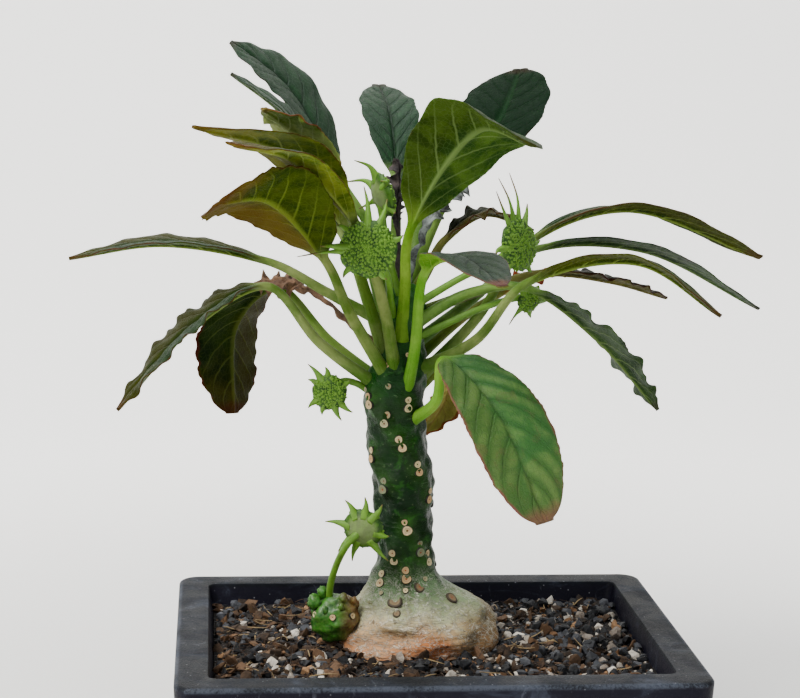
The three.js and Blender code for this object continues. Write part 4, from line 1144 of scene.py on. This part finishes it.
def leaf_skin(heading, width, roll, twist, blunt, wave, crisp, route, pairs=8, stalk=1.7, curl=0.0):
    """The leaf's points and faces, with its place values and the phase of its side veins."""
    # t runs along stalk and blade, u only along the blade, v from edge to edge on both faces
    u = np.concatenate([np.zeros(STALK_RINGS), np.linspace(0, 1, BLADE_RINGS)])
    t = np.concatenate([np.linspace(0, 0.5, STALK_RINGS, endpoint=False), np.linspace(0.5, 1, BLADE_RINGS)])
    centre, side, up = leaf_frame(heading, roll, twist, route, t, u)
    u, t = u[:, None], t[:, None]
    v = np.concatenate([ACROSS, ACROSS[::-1]])[None, :]
    top_face = np.concatenate([np.ones(len(ACROSS)), np.zeros(len(ACROSS))])[None, :]

    # half the width, with shallow scallops and fine teeth
    step = 10 * u
    shape = np.sin(math.pi * u ** lerp(1.1, 1.3, blunt)).clip(0) ** lerp(0.75, 0.55, blunt)
    swing = -np.cos(math.pi * step)
    narrowest = LEAF["tip"] + LEAF["blunt_tip"] * blunt
    half = np.maximum(narrowest, width / 2 * shape) * (1 + LEAF["scallop"] * swing)
    length = float(np.linalg.norm(np.diff(centre[STALK_RINGS:], axis=0), axis=1).sum())
    rim = smooth(u / 0.3) * smooth((1 - u) / 0.12)
    offset = np.where(v > 0, 0.45, 0.0)
    ripple = np.sin(2 * math.pi * (u * length / 5.2 + offset) + 2 * np.sin(9 * u + heading))
    teeth = np.sin(2 * math.pi * (u * length / 1.9 + 1.7 * offset) + 3 * np.sin(7 * u + width))
    teeth = teeth * np.sin(11 * u + heading)
    edge = np.abs(v) ** 5
    half = half + edge * rim * (0.5 * crisp + 0.06) * teeth

    # how far the blade rises: its fold, waves and ripples, then the quilting between its side veins
    fold = LEAF["fold"] * (1 - 0.6 * u)
    swell = wave * swing * (0.75 + 0.35 * np.sin(1.7 * (4 + step)))
    bow = np.abs(v) * half * fold + swell * rim * np.sign(v) * np.abs(v) ** 1.7
    bow = bow + edge * rim * crisp * 0.9 * ripple
    phase = pairs * (u - 0.16 * np.abs(v) - 0.1 * v * v) + offset
    from_vein = np.abs((phase % 1) - 0.5) * 2
    pad = (1 - (1 - from_vein) ** 3) * (1 - np.abs(v) ** 3) * smooth(np.abs(v) / 0.15) * rim
    bow = bow + 0.42 * pad - curl * (v * v) * half * rim

    # the groove above, the rib below and the thickness
    groove = -0.4 * np.exp(-(v / 0.06) ** 2) * (1 - 0.6 * u)
    rib = LEAF["rib"] * (1 - 0.85 * u) * np.exp(-(v / 0.09) ** 2)
    plump = LEAF["thickness"] / 2 * (1 - 0.72 * v ** 6)
    blade_up = bow + np.where(top_face > 0, plump + groove, -plump - rib)

    # the round stalk, which flattens into the blade
    k = np.arange(2 * len(ACROSS))[None, :]
    around = math.pi * (1 - (k + 0.5) / len(ACROSS))
    flat = smooth(u / LEAF["start"])
    base = stalk * lerp(1.15, 0.8, np.minimum(1, t / 0.5))
    thick_foot = base * (1 + 0.25 * np.exp(-(t / 0.05) ** 2))
    across = lerp(thick_foot * np.cos(around), v * half, flat)
    flatter_top = 1 - 0.25 * (np.sin(around) > 0) * smooth(t / 0.4)
    raised = lerp(thick_foot * np.sin(around) * flatter_top, blade_up, flat)
    points = centre[:, None, :] + side[:, None, :] * across[..., None] + up[:, None, :] * raised[..., None]
    place = np.stack(np.broadcast_arrays(t, v, top_face), -1).reshape(-1, 3)
    phase = np.broadcast_to(phase, across.shape).ravel()
    return points.reshape(-1, 3), skin_faces(len(centre), 2 * len(ACROSS)), place, phase


print("a leaf has", (STALK_RINGS + BLADE_RINGS) * 2 * len(ACROSS), "points")

# %% [markdown]
# ## Leaf finishes
# Upper faces are dark blue-green with a grey sheen, and the side veins lie in them as dark lines.
# The undersides are olive to yellow-green with pale raised veins, and light shines through them a
# little. Old leaves get a wine-red margin and turn golden brown at the tip and along one side. One
# node group paints all of it, and each kind of leaf places it with its own colours.

# %% Leaf paint
# shades given as light values: the net above, the shaded half below, the gilt edge, the stalk's foot
DEEP_GREEN = (0.004, 0.015, 0.006, 1)
SHADE_GREEN = (0.008, 0.03, 0.001, 1)
GOLDEN_BROWN = (0.11, 0.06, 0.006, 1)
FOOT_GREEN = (0.05, 0.15, 0.012, 1)
nodes, given, result = new_group(
    "Leaf paint",
    [("Upper", "Color", None), ("Upper pale", "Color", None), ("Lower", "Color", None),
     ("Lower pale", "Color", None), ("Vein", "Color", None), ("Margin", "Color", None),
     ("Margin width", "Float", 0.1), ("Stalk", "Color", None), ("Stalk pale", "Color", None),
     ("Patchy", "Float", 0.3), ("Sunken", "Float", 0.4), ("Gilt", "Float", 0.0),
     ("Upper vein", "Color", None), ("Shaded half", "Float", 0.0)],
    [("Color", "Color"), ("Roughness", "Float"), ("Height", "Float")])
where = nodes.place()
along, across, face = nodes.split(nodes.read("leaf_place", "Vector"))
veins = use_group(nodes, "Leaf veins", Phase=nodes.read("vein_phase"), Across=across, Vector=where)
mottle = use_group(nodes, "Mottling", Vector=where, Patch=110.0, Speck=1300.0)
aside = nodes.calc("ABSOLUTE", across)
blotch = nodes.noise(where, 75.0, 5, 0.65, 0.8)

upper = nodes.mix(nodes.ease(blotch, 0.35, 0.68), given["Upper"], given["Upper pale"])
upper = nodes.tint(given["Upper"], veins["Pad"], 0.3, upper)
upper = nodes.tint(upper, veins["Veins"], given["Sunken"], given["Upper vein"])
upper = nodes.tint(upper, veins["Midrib"], nodes.calc("ADD", given["Sunken"], 0.25), given["Upper vein"])
upper = nodes.tint(upper, veins["Net"], 0.12, DEEP_GREEN)

lower = nodes.mix(nodes.ease(blotch, 0.38, 0.62), given["Lower"], given["Lower pale"])
shaded = nodes.calc("MULTIPLY", nodes.ease(across, -0.05, 0.1), given["Shaded half"])
lower = nodes.mix(shaded, lower, SHADE_GREEN)
lower = nodes.tint(lower, veins["Net"], 0.16, given["Vein"])
lower = nodes.tint(lower, veins["Veins"], 0.6, given["Vein"])
lower = nodes.tint(lower, veins["Midrib"], 0.85, given["Vein"])

blade = nodes.mix(nodes.ease(face, 0.35, 0.65), lower, upper)
one_side = nodes.ease(nodes.calc("MULTIPLY_ADD", blotch, 0.9, across), 0.3, 0.9)
tip_side = nodes.ease(nodes.calc("MULTIPLY_ADD", blotch, 0.3, along), 0.98, 1.12)
gilded = [nodes.calc("MULTIPLY", part, given["Gilt"]) for part in (one_side, tip_side)]
blade = nodes.tint(blade, nodes.calc("MAXIMUM", *gilded), 0.8, GOLDEN_BROWN)
ragged = nodes.calc("MULTIPLY_ADD", blotch, -0.3, nodes.calc("ADD", aside, 0.15))
reach = nodes.calc("SUBTRACT", 1.0, given["Margin width"])
edge = nodes.ease(ragged, reach, nodes.calc("ADD", reach, 0.09))
near_tip = nodes.ease(nodes.calc("MULTIPLY_ADD", blotch, 0.05, along), 0.985, 1.015)
edge = nodes.calc("MAXIMUM", edge, nodes.calc("MULTIPLY", near_tip, 0.7))
blade = nodes.tint(blade, edge, 0.85, given["Margin"])
sick = nodes.calc("MULTIPLY", nodes.ease(nodes.noise(where, 130.0, 4, 0.6, 1.0), 0.56, 0.68), given["Patchy"])
blade = nodes.mix(sick, blade, given["Margin"])

stripes = nodes.noise(where, 110.0, 4)
stalk = nodes.mix(nodes.ease(stripes, 0.35, 0.7), given["Stalk"], given["Stalk pale"])
stalk = nodes.mix(nodes.ease(along, 0.0, 0.3, 0.5, 0.0), stalk, FOOT_GREEN)
nodes.join(nodes.mix(nodes.ease(along, 0.5, 0.58), stalk, blade), result["Color"])
shine = nodes.calc("MULTIPLY_ADD", face, -0.12, nodes.calc("MULTIPLY_ADD", mottle["Specks"], 0.12, 0.5))
nodes.join(shine, result["Roughness"])
lines = nodes.calc("MULTIPLY_ADD", veins["Net"], 0.4, veins["Veins"])
raised = nodes.calc("MULTIPLY", lines, nodes.calc("MULTIPLY_ADD", face, -2.0, 1.0))
nodes.join(nodes.calc("MULTIPLY_ADD", raised, 0.6, mottle["Height"]), result["Height"])
print("Leaf paint has", len(nodes.tree.nodes), "nodes")

# %% Kinds of leaf
# upper, upper pale, lower, lower pale, vein, margin, margin width,
# stalk, stalk pale, patchy, sunken veins, gilt, upper vein, shaded half
DARK_VEIN = (5, 26, 9)
KINDS = {
    "blue": ((12, 42, 18), (38, 78, 42), (18, 43, 13), (42, 68, 28), (100, 124, 60), (44, 30, 22), 0.03,
             (72, 108, 34), (118, 148, 70), 0.0, 0.4, 0.0, DARK_VEIN, 0.0),
    "veined": ((4, 26, 8), (16, 46, 18), (26, 50, 14), (52, 74, 28), (100, 124, 60), (44, 30, 22), 0.03,
               (72, 108, 34), (118, 148, 70), 0.0, 0.12, 0.0, (30, 62, 32), 0.0),
    "olive": ((12, 38, 3), (38, 62, 8), (19, 42, 3), (46, 66, 8), (122, 144, 60), (70, 38, 20), 0.05,
              (84, 112, 44), (136, 150, 88), 0.0, 0.35, 0.25, DARK_VEIN, 0.0),
    "pale": ((22, 48, 10), (60, 82, 24), (100, 124, 44), (156, 172, 92), (176, 188, 124), (96, 40, 22), 0.06,
             (84, 112, 44), (136, 150, 88), 0.0, 0.35, 0.1, DARK_VEIN, 0.0),
    # the gold finish made lighter: painted light for leaves 04 and 05, which lie under other leaves
    "lit_gold": ((20, 48, 14), (48, 76, 26), (60, 82, 10), (122, 134, 34), (136, 150, 64), (84, 44, 18), 0.05,
              (80, 108, 36), (136, 148, 84), 0.05, 0.4, 0.5, DARK_VEIN, 0.0),
    "gold": ((20, 48, 14), (48, 76, 26), (24, 44, 3), (58, 72, 8), (104, 122, 36), (70, 36, 14), 0.05,
             (80, 108, 36), (136, 148, 84), 0.08, 0.4, 0.8, DARK_VEIN, 0.0),
    "dark": ((12, 34, 12), (28, 54, 24), (12, 30, 2), (30, 48, 5), (78, 90, 34), (74, 20, 12), 0.08,
             (84, 122, 40), (118, 142, 66), 0.03, 0.4, 0.3, DARK_VEIN, 0.0),
    "fresh": ((16, 46, 12), (40, 76, 26), (32, 62, 13), (74, 104, 32), (112, 138, 74), (56, 52, 18), 0.02,
              (92, 136, 24), (132, 164, 56), 0.0, 0.4, 0.1, DARK_VEIN, 0.35),
    # the grey upper face and veins are a painted sheen, over a green underside and a pinkish margin
    "grey": ((50, 60, 50), (84, 94, 84), (64, 116, 16), (96, 142, 28), (128, 164, 60), (104, 62, 56), 0.05,
             (94, 150, 34), (128, 170, 64), 0.12, 0.3, 0.0, (40, 44, 40), 0.0),
    "aging": ((54, 98, 46), (136, 168, 92), (84, 94, 26), (126, 124, 42), (130, 140, 60), (122, 62, 62), 0.08,
              (112, 168, 42), (150, 190, 72), 0.15, 0.1, 0.2, (30, 62, 26), 0.0),
    "rust": ((92, 60, 18), (124, 98, 36), (138, 134, 60), (182, 166, 92), (140, 120, 66), (118, 44, 22), 0.2,
             (84, 96, 34), (112, 112, 52), 0.5, 0.3, 0.2, (60, 30, 12), 0.0),
    "brown": ((26, 30, 12), (58, 60, 30), (38, 44, 12), (76, 78, 28), (108, 100, 54), (58, 32, 20), 0.12,
              (84, 84, 38), (110, 108, 58), 0.3, 0.3, 0.2, (20, 18, 10), 0.0),
}
LABELS = ("Upper", "Upper_pale", "Lower", "Lower_pale", "Vein", "Margin", "Margin_width",
          "Stalk", "Stalk_pale", "Patchy", "Sunken", "Gilt", "Upper_vein", "Shaded_half")
GLOSSY_KINDS = ("blue", "aging")
leaf_finishes = {}
for kind, values in KINDS.items():
    finish, nodes, shader = new_finish(f"{kind} leaf")
    chosen = {label: colour(*value) if isinstance(value, tuple) else value
              for label, value in zip(LABELS, values)}
    paint = use_group(nodes, "Leaf paint", **chosen)
    dress(nodes, shader, paint["Color"], paint["Roughness"], paint["Height"], 0.25,
          Specular_IOR_Level=0.15 if kind in GLOSSY_KINDS else 0.04,
          Subsurface_Weight=0.2, Subsurface_Radius=(1.0, 1.6, 0.4), Subsurface_Scale=0.0008)
    leaf_finishes[kind] = finish
print("leaf finishes:", sorted(leaf_finishes))

# %% Grow the leaves
for name, (heading, width, roll, twist, blunt, wave, crisp, kind, route) in LEAVES.items():
    points, faces, place, phase = leaf_skin(heading, width, roll, twist, blunt, wave, crisp, route)
    make_piece(f"{name}_skin", points, faces, leaf_finishes[kind], [name],
               {"leaf_place": place, "vein_phase": phase})

# %% [markdown]
# ## Dried leaves
# Three leaves have withered in the crown: a brown one behind on the left, a black upright one and a
# crumpled one, black with grey patches. They use the same skin with stronger waves and curl, then
# every point is pushed about by noise so that they look crumpled.

# %% Dried leaves
# heading, width, wave, stalk radius, dark and pale colour, then the midrib's points
DRIED = {
    "dried_leaf_1": (160, 11, 2.0, 1.2, (72, 47, 30), (126, 94, 68),
                     [(4, 131), (17, 142), (27, 149), (36, 151), (45, 151)]),
    "dried_leaf_2": (130, 5, 1.4, 1.0, (22, 18, 20), (66, 54, 52),
                     [(0.5, 149), (1, 158), (2, 168), (2.5, 178), (3, 189)]),
    "dried_leaf_3": (30, 13, 2.2, 1.1, (24, 24, 26), (120, 128, 124),
                     [(1.5, 150), (4, 160), (8, 168), (14, 176), (23, 182)]),
}
for name, (heading, width, wave, stalk, dark, pale, route) in DRIED.items():
    finish, nodes, shader = new_finish(name.replace("_", " "))
    where = nodes.place()
    mottle = use_group(nodes, "Mottling", Vector=where, Patch=260.0, Speck=1500.0)
    across = nodes.split(nodes.read("leaf_place", "Vector"))[1]
    veins = use_group(nodes, "Leaf veins", Phase=nodes.read("vein_phase"), Across=across, Vector=where)
    body = nodes.mix(mottle["Patches"], colour(*dark), colour(*pale))
    body = nodes.tint(body, veins["Veins"], 0.5, colour(*dark))
    body = nodes.tint(body, mottle["Specks"], 0.3, colour(*pale))
    dress(nodes, shader, body, 0.8, mottle["Height"], 0.5)
    points, faces, place, phase = leaf_skin(heading, width, 0, 30, 0, wave, 1.6, route, 7, stalk, 0.25)
    shifts = [Vector((k * 9, 0, 0)) for k in range(3)]
    push = np.array([[noise.noise(Vector(p / 3.2) + shift) for shift in shifts] for p in points])
    points = points + push * 1.3 * smooth(place[:, :1] / 0.3)
    make_piece(f"{name}_skin", points, faces, finish, [name],
               {"leaf_place": place, "vein_phase": phase})

# %% [markdown]
# ## Flower heads
# A flower head is a fleshy green disc packed with tiny bumps, with a star of tapering arms whose
# tips dry brown. The disc is a skin over rings. The bumps are small real beads set in the spiral of
# a sunflower, each a little off its place, because a bump map would leave the outline smooth.

# %% Flower table
# name: centre, facing (around, up), radius, stalk points, arms (angle round the disc, reach, forward)
HEADS = {
    "flower_head_1": ((-22.2, -25, 166.3), (262, 12), 8,
                      [(-16, -15, 158), (-14, -6, 150), (-12, 0, 142)],
                      [(92, 17.5, 0), (68, 15, -2), (178, 12.5, 8), (187, 19, 9),
                       (228, 10.5, 1), (300, 10, 1), (20, 10.5, 0), (140, 11, 0)]),
    "flower_head_2": ((-16.3, 0, 179), (20, 15), 6.5,
                      [(-16, -1, 171), (-14, -2, 160), (-10, 0, 148)],
                      [(100, 12, -5), (150, 11, -6), (200, 8.5, -5), (40, 7.8, -2),
                       (320, 7.8, 0), (260, 7.5, -2)]),
    "flower_head_3": ((22.7, -6, 165.7), (313, 8), 7.6,
                      [(17, -3, 161), (6, -2, 155), (-6, 1, 147)],
                      [(120, 19, 2), (98, 20, -2), (80, 21, -3), (60, 13, 0), (185, 13, 2), (230, 10, 0),
                       (300, 10, 0), (0, 10.5, 0)]),
    "flower_head_4": ((-30.6, 0, 121.2), (255, 10), 5.2,
                      [(-27, 2, 124), (-23, 2.5, 123.5), (-16, 3, 119)],
                      [(128, 10.5, 0), (150, 7.5, 0), (100, 7.5, 0), (215, 8, 0), (250, 7, 0), (292, 9, 0),
                       (318, 9, 0), (30, 7, 0)]),
    "flower_head_5": ((-21.2, -13, 83.4), (70, 8), 6,
                      [(-25, -14, 80), (-28.5, -8, 71), (-30, -3, 61), (-29, -2, 56)],
                      [(82, 10, 0), (118, 10, 0), (170, 11.5, 0), (222, 11, 0), (248, 11, 0), (305, 12, 0),
                       (345, 8, 0), (50, 10, 0)]),
    "flower_head_6": ((28, 4, 148.5), (300, -20), 4,
                      [(24, 3, 149), (14, 0, 146.5), (4, 0, 142), (-6, 1, 137)],
                      [(235, 9.5, 0), (290, 7, 0), (350, 8, 0), (60, 5, 0), (140, 6, 0)]),
}
# share of the disc's radius, and how far forward it is there, from the back to the front
DISC_PROFILE = [(0.12, -2.75), (0.35, -2.4), (0.62, -1.6), (0.85, -0.9), (0.97, -0.3), (1.0, 0.2),
                (0.95, 0.8), (0.84, 1.25), (0.68, 1.6), (0.5, 1.85), (0.3, 2.0), (0.1, 2.05)]
print(len(HEADS), "flower heads with", sum(len(head[4]) for head in HEADS.values()), "arms")

# %% Flower green
flower_finish, nodes, shader = new_finish("flower green")
where = nodes.place()
mottle = use_group(nodes, "Mottling", Vector=where, Patch=400.0, Speck=1800.0)
skin = nodes.mix(mottle["Patches"], colour(24, 60, 4), colour(66, 108, 18))
skin = nodes.tint(skin, nodes.read("bead"), 0.52, colour(124, 172, 56))
skin = nodes.mix(nodes.ease(nodes.read("tip"), 0.65, 1.0), skin, colour(98, 78, 42))
skin = nodes.tint(skin, nodes.read("back"), 0.4, colour(146, 160, 104))
dress(nodes, shader, skin, 0.5, mottle["Height"], 0.2, Specular_IOR_Level=0.3,
      Subsurface_Weight=0.15, Subsurface_Radius=(1.0, 1.6, 0.4), Subsurface_Scale=0.001)


# %% Disc, beads and arms
def head_axes(around, up):
    """The way a head faces, and the two directions across its disc."""
    azimuth, elevation = math.radians(around), math.radians(up)
    face = np.array((math.cos(azimuth) * math.cos(elevation), math.sin(azimuth) * math.cos(elevation),
                     math.sin(elevation)))
    across = np.array((-math.sin(azimuth), math.cos(azimuth), 0))
    across = -across if across[0] < 0 else across
    upward = np.cross(face, across)
    return face, across, -upward if upward[2] < 0 else upward


# share of the disc's radius, and how far forward a bead sits there
BEAD_REACH = [0, 0.3, 0.5, 0.68, 0.84, 0.95, 1.0]
BEAD_RISE = [2.05, 2.0, 1.85, 1.6, 1.25, 0.8, 0.2]
BEAD_SIZE = (0.22, 0.48)
# beads for each square millimetre of the radius times itself
BEAD_CROWD = 6
GOLDEN_TURN = 2.39996
ARM_RADII = [1.9, 1.25, 0.8, 0.5, 0.32, 0.12]
THREAD_RADII = [1.3, 0.8, 0.42, 0.26, 0.2, 0.1]
STALK_RADII = [1.3, 1.05, 1.0, 1.05, 1.25]


def head_disc(spot, radius, sides=36):
    """The fleshy disc, with 1 at the points of its back."""
    points, back = [], []
    for share, forward in DISC_PROFILE:
        for k in range(sides):
            a = 2 * math.pi * k / sides
            wavy = 1 + 0.03 * math.sin(5 * a + radius) + 0.02 * math.sin(11 * a)
            points.append(spot(a, share * radius * wavy, forward))
            back.append(1.0 if forward < -1 else 0.0)
    return points, skin_faces(len(DISC_PROFILE), sides), back


def head_bead(spot, radius, k, count):
    """One bead of a count, on its place in the spiral or a little off it."""
    share = math.sqrt((k + 0.5) / count)
    forward = np.interp(share, BEAD_REACH, BEAD_RISE)
    angle = k * GOLDEN_TURN + random.uniform(-0.12, 0.12)
    middle = spot(angle, share * radius + random.uniform(-0.3, 0.1), forward)
    size = random.uniform(*BEAD_SIZE)
    return ball_skin(middle, (size, size, size), 5, 7, 0.25, 2.0)


def head_arm(spot, radius, degrees, reach, forward):
    """A tapering arm, and how near its points are to the tip. The longest arms are threads."""
    a = math.radians(degrees)
    halfway = spot(a, lerp(radius, reach, 0.45), forward * 0.25)
    route = [spot(a, radius * 0.6, 0), halfway, spot(a + 0.06, reach, forward)]
    thread = reach > 2.2 * radius
    points, faces, t = tube_skin(route, THREAD_RADII if thread else ARM_RADII, 9, 16)
    return points, faces, np.minimum(1, t * 1.5) if thread else t


widest = max(head[2] for head in HEADS.values())
print("the widest head gets", int(widest * widest * BEAD_CROWD), "beads")

# %% Flower heads
random.seed(33)
for name, (centre, facing, radius, stalk, arms) in HEADS.items():
    face, across, upward = head_axes(*facing)
    centre = np.array(centre, float)

    def spot(angle, reach, forward):
        """A point at an angle and a reach on the disc, and forward of it."""
        return centre + across * reach * math.cos(angle) + upward * reach * math.sin(angle) + face * forward

    heap = Heap()
    points, faces, back = head_disc(spot, radius)
    heap.add(points, faces, bead=0, tip=0, back=back)
    count = int(radius * radius * BEAD_CROWD)
    for k in range(count):
        heap.add(*head_bead(spot, radius, k, count), bead=1, tip=0, back=0)
    for arm in arms:
        points, faces, t = head_arm(spot, radius, *arm)
        heap.add(points, faces, bead=0.9, tip=t, back=0)
    points, faces, _ = tube_skin([spot(0, 0, -1)] + stalk, STALK_RADII, 12, 30)
    heap.add(points, faces, bead=0.8, tip=0, back=0)
    heap.piece(f"{name}_skin", flower_finish, "flower_head", [name])

# %% [markdown]
# ## Finish
# The dressed plant has to stay as large as the packed solids.
